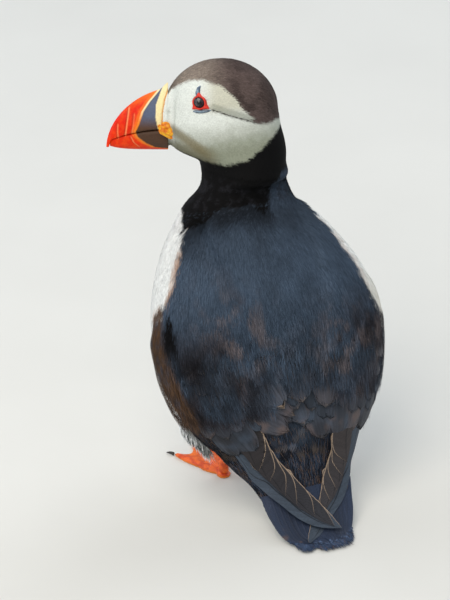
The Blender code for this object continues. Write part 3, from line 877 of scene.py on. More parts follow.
def vaneShape(barbs, stations=15):
    # a broad rounded vane: barbs leave the shaft one after another and meet at the rim
    a, c, faces, barb, rim, line = [], [], [], [], [], []
    frayed = np.random.default_rng(33).uniform(0, 1, barbs) ** 2
    for k in range(stations):
        t = k / (stations - 1)
        rounded = math.sqrt(max(1 - max((t - 0.62) / 0.38, 0) ** 2.2, 0.0))
        for j in range(barbs):
            u = (2 * j - barbs + 1) / (barbs - 1)
            width = (0.55 + 0.45 * float(smooth(0, 0.35, t))) * rounded
            a.append(t * (1 - 0.02 * u * u - 0.09 * frayed[j] * t))
            c.append(u * width)
            barb.append(j)
            rim.append(float(smooth(0.35, 0.95, t)))
            line.append(float(smooth(0.93, 0.99, t)))
    for k in range(stations - 1):
        for j in range(barbs - 1):
            q = k * barbs + j
            faces += [(q, q + 1, q + barbs + 1), (q, q + barbs + 1, q + barbs)]
    return asArrays(a=a, c=c, faces=faces, barb=barb, rim=rim, line=line)


def layFeathers(name, material, slot, field, o, roots, flow, uv, tones, tips, seed):
    # grows one feather of shape o from each root along flow; length and half width are per feather
    rng = np.random.default_rng(seed)
    n = len(roots)
    shape, steps = o["shape"], 4
    sink, roughness, fleck, low, high = (
        np.broadcast_to(o[key], n)[:, None] for key in ("sink", "rough", "fleck", "low", "high"))
    p = settle(field, roots, -sink[:, 0])
    normal = field(p)[1]
    d = unit(flow - normal * (flow * normal).sum(-1, keepdims=True))
    turn = rng.normal(0, o["stray"], n)
    d = unit(d + np.cross(d, normal) * turn[:, None])
    shafts, sides = [p], [np.cross(d, normal)]
    bend = rng.normal(0, o["stray"] * 0.6, n)[:, None]
    for _ in range(steps):
        p = settle(field, p + d * (o["length"] / steps)[:, None], -sink[:, 0])
        normal = field(p)[1]
        d = d + np.cross(d, normal) * bend / steps
        d = unit(d - normal * (d * normal).sum(-1, keepdims=True))
        shafts.append(p)
        sides.append(np.cross(d, normal))
    shafts, sides = np.stack(shafts, 1), np.stack(sides, 1)
    along, across, barb = shape["a"], shape["c"][None, :], shape["barb"]
    k = np.minimum((along * steps).astype(int), steps - 1)
    f = (along * steps - k)[None, :, None]
    spot = shafts[:, k] * (1 - f) + shafts[:, k + 1] * f
    side = sides[:, k] * (1 - f) + sides[:, k + 1] * f
    spot = spot + side * (across * o["half"][:, None])[..., None]
    barbs = barb.max() + 1
    rough = (rng.normal(0, 1, (n, barbs)) * roughness)[:, barb]
    rise = low + (high - low) * along ** 0.7
    rise = rise + rough * along - o["camber"] * across ** 2 * along
    rise = rise + rng.uniform(0, 1, (n, 1)) * roughness
    verts = settle(field, spot.reshape(-1, 3), (rise - sink).reshape(-1))
    verts[:, 2] = np.maximum(verts[:, 2], 0.1)
    faces = (shape["faces"][None] + (np.arange(n) * len(along))[:, None, None]).reshape(-1, 3)
    grade = smooth(o["tipFrom"], 1.0, along) if "rim" not in shape else shape["rim"]
    tone = tones[:, None, :] * (1 - grade[None, :, None]) + tips[:, None, :] * grade[None, :, None]
    if "line" in shape:
        tone = mix(tone, colour["edge"], o["pale"][:, None] * shape["line"])
    # painted shade towards the root, where the feather before lies over it
    tone = tone * (1 - o["deep"] * smooth(0.75, 0.2, along))[None, :, None]
    tone = tone * (1 + (rng.normal(0, 1, (n, barbs)) * fleck)[:, barb, None])
    tone = np.clip(tone * (1 + rng.normal(0, 1, (n, 1, 1)) * fleck[..., None]), 0.001, 0.95)
    chart = uv[:, None, :] + 0.003 * np.stack([(shape["c"] + 1) / 2, along], -1)[None]
    ob = meshFrom(name, verts, faces, np.clip(chart, 0, 1).reshape(-1, 2), tone.reshape(-1, 3))
    finishPiece(ob, material, slot)
    print(name, len(faces))
    return ob


aroundChart = (np.roll(mapP, -1, 1) - np.roll(mapP, 1, 1)) / 2
cellArea = np.linalg.norm(np.cross(np.gradient(mapP, axis=0), aroundChart), axis=-1)
mapDeg = np.degrees(mapT)


evenStrides = (0.7548776662, 0.5698402910)  # steps that never fall into rows


def scatter(count, density, seed):
    # evenly spread places on the body, weighted by a density over the chart
    rng = np.random.default_rng(seed)
    weight = cellArea * density + 1e-12
    rowSum = weight.sum(1)
    rowCdf = np.concatenate([[0], np.cumsum(rowSum) / rowSum.sum()])
    u, v = ((0.5 + np.arange(count) * stride) % 1.0 for stride in evenStrides)
    row = np.interp(u, rowCdf, np.arange(rowCount + 1)).clip(0, rowCount - 1.001)
    r = row.astype(int)
    within = np.cumsum(weight, 1) / rowSum[:, None]
    flat = (within + np.arange(rowCount)[:, None]).ravel()
    j = np.searchsorted(flat, r + np.clip(v, 1e-6, 1 - 1e-6)) - r * columnCount
    j = j.clip(0, columnCount - 1)
    s = np.interp(row + rng.uniform(-0.5, 0.5, count), np.arange(rowCount), gridS)
    theta = gridT[j] + rng.uniform(-0.5, 0.5, count) * (gridT[1] - gridT[0])
    return s, theta


def inRows(low, high, along, across, keep, seed):
    # staggered rows from the tail end up, spaced in millimetres
    rng = np.random.default_rng(seed)
    theta = np.radians(np.arange(-180, 180 + chartStep / 3, chartStep))
    allS, allT = [], []
    s = low
    odd = 0
    while s < high:
        ring = outerPoint(np.full(len(theta), s), theta)
        arc = np.concatenate([[0], np.cumsum(np.linalg.norm(np.diff(ring, axis=0), axis=1))])
        count = max(int(arc[-1] / across(s)), 6)
        marks = (np.arange(count) + 0.5 * odd + rng.uniform(-0.18, 0.18, count)) / count % 1
        t = np.interp(marks * arc[-1], arc, theta)
        speed = np.linalg.norm(bodyPoint(s + 0.05, 0.6) - bodyPoint(s - 0.05, 0.6)) / 0.1
        ds = rng.uniform(-0.2, 0.2, count) * along(s) / speed
        kept = keep(s, np.degrees(t))
        allT.append(t[kept])
        allS.append(s + ds[kept])
        s += along(s) / speed
        odd = 1 - odd
    return np.concatenate(allS), np.concatenate(allT)


def tailward(s, theta):
    # the way the coat lies: towards the tail on the body, away from the bill on the head
    p = outerPoint(s, theta)
    low = np.clip(s - 0.08, 0.02, top - 0.2)
    back = unit(bodyPoint(low, theta) - bodyPoint(low + 0.16, theta))
    h = toHead(p)[:, 2]
    head = unit(headBack - headUp * (0.25 + 0.3 * smooth(0, -25, h))[:, None])
    w = smooth(15.2, 17.0, s)[:, None]
    return p, unit(back * (1 - w) + head * w)


def chartUv(s, theta, low, high):
    # the place on the bake map, between two stations
    along = np.clip((s - low) / (high - low), 0, 1)
    return np.stack([(theta / (2 * math.pi) + 0.5) % 1.0, along], -1) * 0.996


def toneAt(s, theta):
    return bodyTone(s, np.degrees(theta), outerPoint(s, theta))


def coat(name, slot, o, s, theta, seed, tone=None, tips=None):
    # feathers o at the places s, theta of the body, coloured like the body where no tone is given
    p, flow = tailward(s, theta)
    n = len(s)
    tone = toneAt(s, theta) if tone is None else tone
    tips = tone if tips is None else tips
    length = o["length"] * np.random.default_rng(seed + 500).uniform(0.85, 1.15, n)
    o = dict(o, length=length, half=np.broadcast_to(o["half"], n))
    uv = chartUv(s, theta, s.min(), s.max())
    layFeathers(name, "down", slot, bodyField, o, p, flow, uv, tone, tips, seed)


number = {  # feathers in each coat; the others grow in rows
    "head": 20000, "neck": 9500, "front": 8200, "hair": 22000, "rump": 6500, "rumpHair": 5200,
    "vent": 1000, "fringe": 650, "lore": 4600, "thigh": 2600,
}
fine = {
    "low": 0.0, "high": 0.3,  # rise at the root and the tip
    "sink": 0.9, "stray": 0.09, "rough": 0.035, "camber": 0.0, "fleck": 0.02, "tipFrom": 0.5, "deep": 0.0,
}


def headCoat():
    s, theta = scatter(number["head"], (mapS > 15.55) * np.where(mapS > 18, 1.0, 0.8), 31)
    side, f, h = toHead(outerPoint(s, theta)).T
    holeUp, hole = eye["hole"]
    keep = np.hypot(f - eye["forward"], h - holeUp) > hole
    keep = keep & (f < np.where((np.abs(side) > 5) & (h < 13), 28.8, 30.5))
    s, theta, f, h = s[keep], theta[keep], f[keep], h[keep]
    isCap = smooth(-0.5, 0.5, h - curve(capLine, f))
    over = h - creaseAt(f)
    fold = smooth(-25, -18, f) * smooth(8, 4, f) * (0.55 * bell(over - 1.6, 1.2) - 0.12 * bell(over, 0.6))
    o = dict(
        fine, shape=fanShape(3, 0.3), length=1.6 + 2.0 * smooth(28, 8, f) + 0.8 * smooth(-5, -25, f),
        half=0.34 + 0.4 * smooth(28, 5, f), fleck=0.02 + 0.10 * isCap, rough=0.02 + 0.05 * isCap, sink=0.5,
        low=fold, high=0.3 + fold,
    )
    coat("coat_head", "face", o, s, theta, 1)


def neckCoat():
    s, theta = scatter(number["neck"], (mapS > 12.7) & (mapS < 15.75), 32)
    tone = toneAt(s, theta)
    # painted highlights on the tips of clumps of collar feathers
    lit = patches(outerPoint(s, theta), 3.2, 70, 0.5, 0.75) * smooth(16.0, 14.5, s) * smooth(13.1, 13.5, s)
    o = dict(
        fine, shape=fanShape(5, 0.35), length=5.0, half=1.3, sink=1.6, high=1.1, stray=0.15, rough=0.12,
        fleck=0.12,
    )
    coat("coat_neck", "collar", o, s, theta, 2, tone, mix(tone, colour["collarHighlight"], lit))


def whiteCoat():
    inFront = np.abs(mapDeg) > whiteBorder(mapS, mapDeg) - 5
    s, theta = scatter(number["front"], inFront & (mapS < 13.6) & (mapS > 0.6), 33)
    # shorter under the tail and along the flank
    flank = (s > 7.6) & (s < 9.8) & (np.abs(np.degrees(theta)) < 116)
    o = dict(
        fine, shape=fanShape(7, 0.3), length=np.where((s < 5) | flank, 5.0, 8.5), half=2.4, sink=2.0,
        high=1.2, stray=0.07, rough=0.05, fleck=0.03,
    )
    coat("coat_underparts", "face", o, s, theta, 3)


def behindWhite(s, deg):
    # the back, as far as it lies under the edge of the white
    return np.abs(deg) < whiteBorder(s, deg) + 2


def backCoat():
    def along(s):
        return 3.2 + 1.8 * float(smooth(11, 8.5, s))

    def across(s):
        return 3.2 + 2.0 * float(smooth(11, 8.5, s))
    s, theta = inRows(7.6, 13.5, along, across, behindWhite, 34)
    n = len(s)
    tone = toneAt(s, theta)
    rng = np.random.default_rng(4)
    pale = mix(tone, colour["backTip"], 0.5 * smooth(10.8, 12.2, s) * rng.uniform(0.4, 1, n))
    pale = mix(pale, colour["edge"], 0.25 * smooth(10.4, 9, s) * (rng.uniform(0, 1, n) > 0.7))
    tone = tone * (1 + smooth(10.6, 9.2, s) * rng.uniform(-0.4, 0.35, n))[:, None]
    size = smooth(12, 8.5, s)
    o = dict(
        fine, shape=fanShape(9, 0.28), length=9.0 + 7 * size, half=2.7 + 2.3 * size, sink=2.0, high=1.7,
        stray=0.08, rough=0.05, camber=0.4, fleck=0.06, tipFrom=0.82,
    )
    coat("coat_back", "back", o, s, theta, 4, tone, pale)


def hairCoat():
    # fine strands over the back and the lower wing
    onBack = (mapS > np.where(np.abs(mapDeg + 2) < 18, 8.75, 8.35)) & (mapS < 13.3)
    density = onBack * np.where(mapS < 9.6, 0.7, 1.0) * behindWhite(mapS, mapDeg)
    s, theta = scatter(number["hair"], density, 35)
    deg = np.degrees(theta)
    tone = bodyTone(np.maximum(s, 8.8), deg, outerPoint(s, theta))
    light = np.random.default_rng(5).choice([-0.5, -0.25, 0.3, 0.6], len(s))
    tone = tone * (1 + (0.22 + 0.5 * smooth(11.2, 9.8, s)) * light)[:, None]
    edge = 1 - 0.7 * smooth(50, 58, -deg) * smooth(10.2, 9.8, s)  # lower at the right wing's edge
    lower, lowest = smooth(9.9, 9.2, s), smooth(9.2, 8.7, s)
    o = dict(
        fine, shape=hairShape(), length=6.0 + 3 * smooth(10, 9, s), half=0.12, sink=2.0,
        high=1.9 + edge * (1.6 * lower + 1.5 * lowest), low=1.2 + edge * (1.2 * lower + 0.8 * lowest),
        stray=0.13, rough=0.08, fleck=0.1,
    )
    coat("coat_hair", "back", o, s, theta, 5, tone)


def onRump(low, sides, narrow):
    # places on the rump, with a smaller angle to each side below some stations
    width = np.full(mapS.shape, float(sides))
    for station, angle in narrow:
        width = np.where(mapS < station, angle, width)
    return (mapS > low) & (mapS < 8.2) & (np.abs(mapDeg) < width)


def rumpCoat():
    s, theta = scatter(number["rump"], onRump(3.4, 104, [(5.6, 84), (4.9, 42)]), 36)
    tone = toneAt(s, theta)
    o = dict(
        fine, shape=fanShape(7, 0.35), length=np.where(s < 5, 8.0, 9.5), half=2.0,
        sink=np.where(s < 5, 0.3, 1.6), high=0.6, stray=0.14, rough=0.10, fleck=0.12,
    )
    coat("coat_rump", "tail", o, s, theta, 6, tone, mix(tone, colour["rumpBlue"], 0.35))
    s, theta = scatter(number["rumpHair"], onRump(3.2, 84, [(4.9, 38)]), 37)
    rng = np.random.default_rng(6)
    brown = (rng.uniform(0, 1, len(s)) > 0.76)[:, None]
    blue = mix(colour["rump"], colour["rumpBlue"] * 1.5, rng.uniform(0, 1, len(s)) ** 2)
    o = dict(
        fine, shape=hairShape(), length=np.where(s < 5, 7.0, 10.0), half=0.13,
        sink=np.where(s < 5, 0.3, 1.6), low=0.5, high=0.9, stray=0.2, rough=0.15, fleck=0.1,
    )
    coat("coat_rump_hair", "tail", o, s, theta, 7, np.where(brown, linear("#64544c"), blue))


def ventCoat(side, low, high):
    # loose white strands that hang from the flank over the thigh
    flank = (mapS > 7.7) & (mapS < 8.4) & (mapDeg > low) & (mapDeg < high)
    s, theta = scatter(number["vent"], flank, 39)
    n = len(s)
    p, flow = tailward(s, theta)
    rng = np.random.default_rng(17)
    down = unit(flow * 0.6 + bodyField(p)[1] * 0.2 + np.array([0, 0, -1.0]))
    tone = np.tile(colour["white"], (n, 1)) * rng.uniform(0.95, 1.12, (n, 1))
    o = dict(
        fine, shape=fanShape(5, 0.5), length=rng.uniform(8, 13.5, n), half=np.full(n, 2.0), sink=1.0,
        high=rng.uniform(2.0, 8.5, n), stray=0.13, rough=0.12, fleck=0.04,
    )
    uv = chartUv(s, theta, 7, 9.5)
    layFeathers("coat_vent_" + side, "down", "thigh", bodyField, o, p, down, uv, tone, tone, 18)


headCoat()
neckCoat()
whiteCoat()
backCoat()
hairCoat()
rumpCoat()
ventCoat("left", 89, 103)
ventCoat("right", -104, -96)


# flight feathers and tail

flight = {
    "left": {
        "cross": 2.4, "layer": 0.26, "brown": "#2b2627",
        "edge": [
            (8.14, 63), (7.82, 60), (7.46, 58), (6.99, 59), (6.5, 63), (6.05, 64), (5.12, 54), (4.34, 39),
            (3.56, 24), (2.93, 6), (2.41, -16), (2.1, -38),
        ],
        "band": [
            (8.14, 52), (7.82, 50), (7.3, 48), (6.84, 46), (6.16, 45), (5.22, 37), (4.39, 24), (3.71, 9),
            (3.14, -5), (2.6, -20), (2.2, -37),
        ],
        "inner": [
            (8.2, 28), (7.93, 27), (7.51, 26), (7.15, 24), (6.68, 20), (5.95, 15), (5.33, 9), (4.75, 1),
            (4.23, -8), (3.4, -22), (2.7, -32), (2.15, -39),
        ],
        "tips": [2.5, 3.45, 4.29, 4.95, 6.0, 6.84], "leave": [4.18, 5.22, 6.63, 7.2, 7.56, 7.8],
    },
    "right": {
        "cross": 0.0, "layer": 0.22, "brown": "#3a3434",
        "edge": [
            (8.0, -60), (7.62, -58), (7.2, -60), (5.95, -66), (5.2, -64), (4.18, -48), (3.51, -29),
            (2.88, -14), (1.9, 8), (1.2, 38),
        ],
        "band": [
            (8.0, -46), (7.51, -43), (7.04, -46), (6.11, -50), (5.22, -45), (4.49, -34), (3.92, -20),
            (3.25, -7), (2.52, 8), (1.25, 39),
        ],
        "inner": [
            (8.0, -24), (7.41, -22), (7.15, -24), (6.73, -22), (6.05, -20), (5.59, -17), (4.96, -14),
            (4.44, -10), (3.82, 1), (3.14, 10), (2.2, 24), (1.3, 40),
        ],
        "tips": [2.9, 3.6, 4.13, 4.6, 5.3, 6.11], "leave": [3.9, 4.7, 5.5, 6.6, 7.05, 7.36],
    },
    "grey": "#3d4754", "rim": "#b39d88", "shaft": "#121116", "rows": 90, "frayed": 0.012,
}
shaftAt = 0.32  # across a vane, from its outer edge
acrossAt = np.array([
    0, 0.03, 0.08, 0.16, 0.24, 0.29, 0.32, 0.35, 0.45, 0.55, 0.65, 0.75, 0.85, 0.93, 0.965, 0.982, 1.0,
])


def smoothCurve(points, count):
    # evenly resampled curve through chart points
    pts = np.array(points, float)
    q = splineAt(pts, np.linspace(0, len(pts) - 1, 200))
    arc = np.concatenate([[0], np.cumsum(np.hypot(np.diff(q[:, 0]) * 14, np.diff(q[:, 1]) * 0.5))])
    at = np.linspace(0, arc[-1], count)
    return np.stack([np.interp(at, arc, q[:, 0]), np.interp(at, arc, q[:, 1])], 1)


def gridFacesOf(rows, cols, start):
    ids = np.arange(rows * cols).reshape(rows, cols) + start
    return np.stack([ids[:-1, :-1], ids[:-1, 1:], ids[1:, 1:], ids[1:, :-1]], -1).reshape(-1, 4)


def cutAt(points, s):
    # the control points of a curve that lie above station s, and the place on it there
    pts = np.array(points, float)
    deg = np.interp(s, pts[::-1, 0], pts[::-1, 1])
    return [tuple(p) for p in pts if p[0] > s + 0.12] + [(s, float(deg))]


def vane(outer, inner, height, rows, tones, seed, frayed):
    # one ribbon feather between two chart curves, its inner edge thin and pale
    rng = np.random.default_rng(seed)
    a, b = smoothCurve(outer, rows), smoothCurve(inner, rows)
    w = acrossAt[None, :]
    spot = a[:, None] * (1 - w[..., None]) + b[:, None] * w[..., None]
    t = np.linspace(0, 1, rows)[:, None]
    s = spot[..., 0] + rng.normal(0, frayed, (rows, 1)) * (w > 0.9) * (t > 0.1)
    theta = np.radians(spot[..., 1])
    lift = height(s) + 0.10 * bell(w - shaftAt, 0.03) - 0.25 * (w - 0.4) ** 2
    verts = bodyPoint(s, theta) + bodyNormal(s, theta) * lift[..., None]
    base, edge, shaft = tones
    slant = np.arange(rows)[:, None] + (np.abs(w - shaftAt) * 22).astype(int)
    barbs = rng.normal(0, 1, 3 * rows)[slant % (3 * rows)]
    tone = np.tile(base, (rows, len(acrossAt), 1)) * (1 + 0.13 * barbs)[..., None]
    tone = mix(tone, shaft, bell(w - shaftAt, 0.02) * (t < 0.97))
    rim = smooth(0.962, 0.984, w) * smooth(0.02, 0.2, t)
    tone = mix(tone, edge, rim * rng.uniform(0.6, 1.0, (rows, 1)))
    return verts.reshape(-1, 3), np.clip(tone, 0.001, 0.95).reshape(-1, 3)


def vaneSheet(name, slot, rows, vanes, uvWidth, uvStep):
    # several vanes, each with its points and tones, as one piece; each has a strip of the bake map
    verts, tones = (np.concatenate([v[i] for v in vanes]) for i in (0, 1))
    wide = len(acrossAt)
    along = np.repeat(np.linspace(0.02, 0.98, rows), wide)
    across = np.tile(acrossAt, rows) * uvWidth + uvWidth / 10
    uvs = np.concatenate([np.stack([across + uvStep * k, along], 1) for k in range(len(vanes))])
    faces = np.concatenate([gridFacesOf(rows, wide, rows * wide * k) for k in range(len(vanes))])
    ob = meshFrom(name, verts, faces, uvs, tones)
    outward(ob)
    finishPiece(ob, "vane", slot)
    print(name, len(ob.data.polygons))


def makeFlight(side):
    o = dict(flight, **flight[side])
    grey, brown, edge, shaft = (linear(o[key]) for key in ("grey", "brown", "rim", "shaft"))
    lists = [(o["edge"], o["band"][:4] + o["inner"][4:], grey)]
    for k, (tip, leave) in enumerate(zip(o["tips"], o["leave"])):
        outer = cutAt(o["band"], tip)
        inner = cutAt(o["inner"], leave)
        half = leave - 0.45 * (leave - tip)
        follow = cutAt(o["inner"], half)[-1][1]
        straight = inner[-1][1] + 0.45 * (outer[-1][1] - inner[-1][1])
        middle = (half, 0.4 * follow + 0.6 * straight)
        lists.append((outer, inner + [middle, outer[-1]], mix(grey, brown, 0.75 + 0.04 * k)))
    vanes = []
    for k, (outer, inner, base) in enumerate(lists):
        def height(s):
            lift = bird["wingLift"] + 0.55 + o["layer"] * k + o["cross"] * smooth(7.2, 4.2, s)
            return lift + 1.0 * smooth(7.0, 8.2, s)
        vanes.append(vane(outer, inner, height, o["rows"], (base, edge, shaft), 60 + k, o["frayed"]))
    vaneSheet("primaries_" + side, "wing", o["rows"], vanes, 0.1, 0.13)


def outward(ob):
    # turns a sheet of feathers so that its faces look away from the body
    _, n = bodyField(readAll(ob.data.polygons, "center", 3) / milli)
    if (readAll(ob.data.polygons, "normal", 3) * n).sum() < 0:
        ob.data.flip_normals()


def tailTop(points):
    # height over the upper face of the tail, carried on level past its end
    ridge = bodyPoint(np.linspace(0.3, 5, 40), 0.0)
    y, z = np.append(ridge[:, 1], -500)[::-1], np.append(ridge[:, 2], 60)[::-1]
    face = np.interp(points[:, 1], y, z)
    slope = (np.interp(points[:, 1] + 0.5, y, z) - face) / 0.5
    n = unit(np.stack([np.zeros(len(face)), -slope, np.ones(len(face))], 1))
    return (points[:, 2] - face) * n[:, 2], n


def tailFringe():
    # frayed barb ends past the tips of the tail
    rng = np.random.default_rng(21)
    ends = (mapS > 0.45) & (mapS < 1.2 + 1.0 * smooth(25, 80, np.abs(mapDeg))) & (np.abs(mapDeg) < 86)
    s, theta = scatter(number["fringe"], ends, 40)
    p = outerPoint(s, theta)
    n = len(s)
    flow = np.stack([p[:, 0] * 0.008, np.ones(n), np.zeros(n)], 1)
    clump = patches(p * np.array([1, 0.2, 0.2]), 4.5, 44, 0.3, 0.75)
    tone = mix(colour["tail"], colour["tailTip"], 0.6 * rng.uniform(0, 1, n) ** 1.5)
    tone = mix(tone, colour["tailBrown"], (rng.uniform(0, 1, n) > 0.93) * 0.6)
    o = dict(
        fine, shape=hairShape(), length=1.2 + rng.uniform(0.5, 1.0, n) * 8.0 * clump,
        half=rng.uniform(0.12, 0.35, n), sink=0.0, low=0.35, high=rng.uniform(0.3, 1.0, n), stray=0.16,
        rough=0.1, fleck=0.12,
    )
    uv = chartUv(s, theta, 0, 3)
    layFeathers("tail_fringe", "vane", "tail", tailTop, o, p, flow, uv, tone, tone, 22)


tail = {"feathers": 16, "rows": 60, "root": 5.2, "frayed": 0.05}


def tailEdge(i, u, tip, offset):
    # one edge of a tail feather, from the root to where it closes at the tip
    points = []
    for j in range(9):
        t = j / 8
        s = tail["root"] + (tip - tail["root"]) * t
        x = u * (0.88 + 0.07 * t) + offset * (0.7 + 0.5 * t) * (1 - 0.9 * smooth(0.82, 1.0, t))
        x += 0.02 * math.sin(t * 9 + i * 2.1) * t
        points.append((s, math.degrees(math.asin(float(np.clip(x, -0.99, 0.99))))))
    return points


def makeTail():
    rows, count = tail["rows"], tail["feathers"]
    t = np.repeat(np.linspace(0, 1, rows), len(acrossAt))
    vanes = []
    for k, i in enumerate(sorted(range(count), key=lambda i: -abs(i - (count - 1) / 2))):
        u = (2 * i - count + 1) / (count - 1)
        tip = 0.34 + 0.5 * abs(u) ** 2.5 + 0.34 * math.sin(k * 2.4)
        half = (0.092 + 0.02 * math.sin(k * 1.7)) * (1 if u <= 0 else -1)

        def height(s):
            lift = 0.25 + 0.05 * k + 0.3 * smooth(1.5, 5, s)
            return lift + 0.5 * math.sin(k * 1.9) ** 2 * smooth(3.0, 1.0, s)

        base = mix(colour["tail"] * 1.1, colour["rump"], 0.1 + 0.3 * math.sin(k * 2.9) ** 2)
        tones = (base, mix(base, colour["tailTip"], 0.5), base * 0.6)
        edges = (tailEdge(i, u, tip, offset) for offset in (-half, half))
        v, tone = vane(*edges, height, rows, tones, 90 + k, tail["frayed"])
        tone = mix(tone, colour["tailTip"], smooth(0.80, 1.0, t) * patches(v, 1.2, 40 + k, 0.3, 0.7))
        brown = patches(v, 4.0, 41, 0.62, 0.8) * smooth(0.4, 0.7, t) * (u > 0.2)
        vanes.append((v, mix(tone, colour["tailBrown"], 0.8 * brown)))
    vaneSheet("tail_vanes", "tail", rows, vanes, 0.05, 0.0615)


tertials = {
    # root and tip as station and angle, half width, rise of the tip, how worn, how pale the rim
    "rows": [
        (8.5, 56, 7.46, 55, 7.5, 4.0, 0.0, 0.0), (8.7, 50, 7.46, 38, 9.0, 4.3, 0.3, 0.1),
        (8.7, 34, 7.72, 17, 6.5, 4.4, 0.8, 0.2), (8.85, 36, 7.88, 9, 7.0, 4.7, 1.0, 0.1),
        (9.0, 30, 8.24, 3, 5.5, 5.0, 0.5, 0.3), (9.4, 22, 8.38, 11, 8.5, 5.2, 0.1, 0.9),
        (8.6, 2, 7.88, -2, 6.5, 3.6, 0.5, 0.5), (8.6, -9, 7.46, -15, 8.5, 4.0, 0.5, 0.1),
        (8.7, -24, 7.42, -27, 8.5, 4.2, 0.4, 0.1), (8.6, -38, 7.38, -39, 8.0, 4.0, 0.9, 0.1),
        (8.6, -52, 7.4, -53, 7.0, 3.8, 0.2, 0.0), (9.5, -2, 8.42, -4, 8.5, 4.6, 0.2, 0.3),
        (9.3, -18, 8.2, -16, 8.5, 4.2, 0.1, 0.1), (9.2, 42, 8.3, 36, 8.0, 4.0, 0.1, 0.0),
    ],
    "along": 9.0, "across": 7.5, "length": 21.0, "half": 5.6,
}


def plumes(name, p, flow, deg, s, length, half, high, worn, rim, seed):
    # broad soft vanes, with painted shade at the root, some with a worn brown end
    rng = np.random.default_rng(seed)
    n = len(s)
    tone = bodyTone(np.maximum(s, 8.7), deg, p)
    tone = mix(tone, colour["plume"], 0.6) * rng.uniform(0.88, 1.15, (n, 1))
    pale = mix(tone, colour["wornTip"], worn * 0.3)
    o = dict(
        fine, shape=vaneShape(25), length=length, half=half, sink=1.8, low=-0.6, high=high, stray=0.05,
        rough=0.05, camber=0.9, fleck=0.16, deep=0.45, pale=rim,
    )
    uv = chartUv(s, np.radians(deg), 7, 11)
    ob = layFeathers(name, "vane", "wing", bodyField, o, p, flow, uv, tone, pale, seed)
    # worn brown patches, patches of painted shade and patches of painted blue sheen, that run over several
    # feathers
    spots = pointsOf(ob.data)
    share = np.clip(np.repeat(worn, len(spots) // n) * 1.2, 0, 1)
    tones = mix(tonesOf(ob.data), colour["wornTip"], 0.75 * share * patches(spots, 5.0, 23, 0.42, 0.7))
    tones = mix(tones, colour["dark"], 0.45 * patches(spots, 7.0, 24, 0.55, 0.8))
    tones = mix(tones, colour["backSheen"] * 0.9, 0.35 * patches(spots, 6.0, 25, 0.6, 0.8))
    paint(ob.data, tones)


def makeTertials(o):
    s0, deg0, s1, deg1, half, high, worn, rim = np.array(o["rows"], float).T
    root, tip = outerPoint(s0, np.radians(deg0)), outerPoint(s1, np.radians(deg1))
    length = np.linalg.norm(tip - root, axis=1) * 1.03
    plumes("tertials", root, unit(tip - root), deg0, s0, length, half, high, worn, rim, 9)


def makeCoverts(o):
    def keep(s, deg):
        return (deg < 64 - 3 * (s - 9)) & (deg > -63)
    s, theta = inRows(8.66, 10.2, lambda s: o["along"], lambda s: o["across"], keep, 38)
    deg = np.degrees(theta)
    p, flow = tailward(s, theta)
    inward = unit(bodyPoint(s, theta - 0.05 * np.sign(theta)) - bodyPoint(s, theta))
    lean = np.where(deg > 0, 0.6 * smooth(62, 40, deg) * smooth(3, 15, deg), 0.15) * smooth(10.0, 9.0, s)
    flow = unit(flow + inward * lean[:, None])
    rng = np.random.default_rng(14)
    n = len(s)
    length = o["length"] * rng.uniform(0.85, 1.2, n)
    half = o["half"] * rng.uniform(0.85, 1.15, n)
    rim = 0.15 * (rng.uniform(0, 1, n) > 0.6)
    worn = patches(p, 14.0, 15, 0.55, 0.8) * 0.6
    plumes("coverts", p, flow, deg, s, length, half, 3.0 - 1.7 * smooth(9.3, 10.1, s), worn, rim, 16)


makeTail()
tailFringe()
makeFlight("right")
makeFlight("left")
makeTertials(tertials)
makeCoverts(tertials)

# bill

bill = {
    "base": 29.5, "tip": 66.8, "half": 8.5, "lowerTip": 64.6, "hook": -21.9, "gonys": -23.2,
    # where red begins, and the pale ridge's two edges: height and forward
    "border": [
        (17, 33.2), (13.5, 34.8), (6.5, 41.0), (0.9, 44.8), (-6.6, 47.4), (-11, 49.4), (-12.5, 49.4),
        (-14.7, 48.2), (-18.4, 43.2), (-20.9, 37.8), (-21.8, 29.4), (-26, 27),
    ],
    "ridgeFront": [(18, 31.5), (12, 34.2), (5.2, 36.8), (-2.2, 37.2), (-9.1, 35.6), (-12, 34)],
    "ridgeRear": [(18, 29), (15.5, 29.4), (8.3, 32.0), (0.3, 33.3), (-6, 33.6), (-10, 33.6)],
    # each groove's path, depth and how pale its edge is
    "grooves": [
        ([(-0.6, 50.2), (-6, 50.8), (-12.8, 51.8)], 0.35, 0.5),
        ([(2.5, 53.4), (-6, 54.6), (-14.6, 55.8)], 0.55, 1.0),
        ([(-7.5, 60.2), (-12, 60.4), (-16.5, 60.0)], 0.4, 0.6),
        ([(-14.5, 52.5), (-18, 50.8), (-21, 47.5)], 0.4, 0.8),
    ],
    "rings": 110, "segments": 120,
}


def culmen(f):
    # height of the upper edge, with the ridge's bulge at its base
    t = (f - 22.0) / (bill["tip"] - 22.0)
    return bill["hook"] + 36.5 * np.clip(1 - t * t, 0, 1) ** 0.55 + 3.2 * bell(f - bill["base"], 3.2)


def gape(f):
    # height of the line between the two halves
    return -9.7 - 9.0 * ((f - bill["base"]) / (bill["tip"] - bill["base"])) ** 2


def upperBottom(f):
    hooked = smooth(bill["lowerTip"] - 1.0, bill["lowerTip"] + 1.0, f)
    return gape(f) + (bill["hook"] - gape(f)) * hooked


def gonys(f):
    # height of the lower edge
    return bill["gonys"] + 1.9 * ((f - bill["base"]) / (bill["lowerTip"] - bill["base"])) ** 6


def alongGroove(path, h, out, into):
    # 1 along a groove, fading at both ends
    low, high = min(p[0] for p in path), max(p[0] for p in path)
    return smooth(low - out, low + into, h) * smooth(high + out, high - into, h)


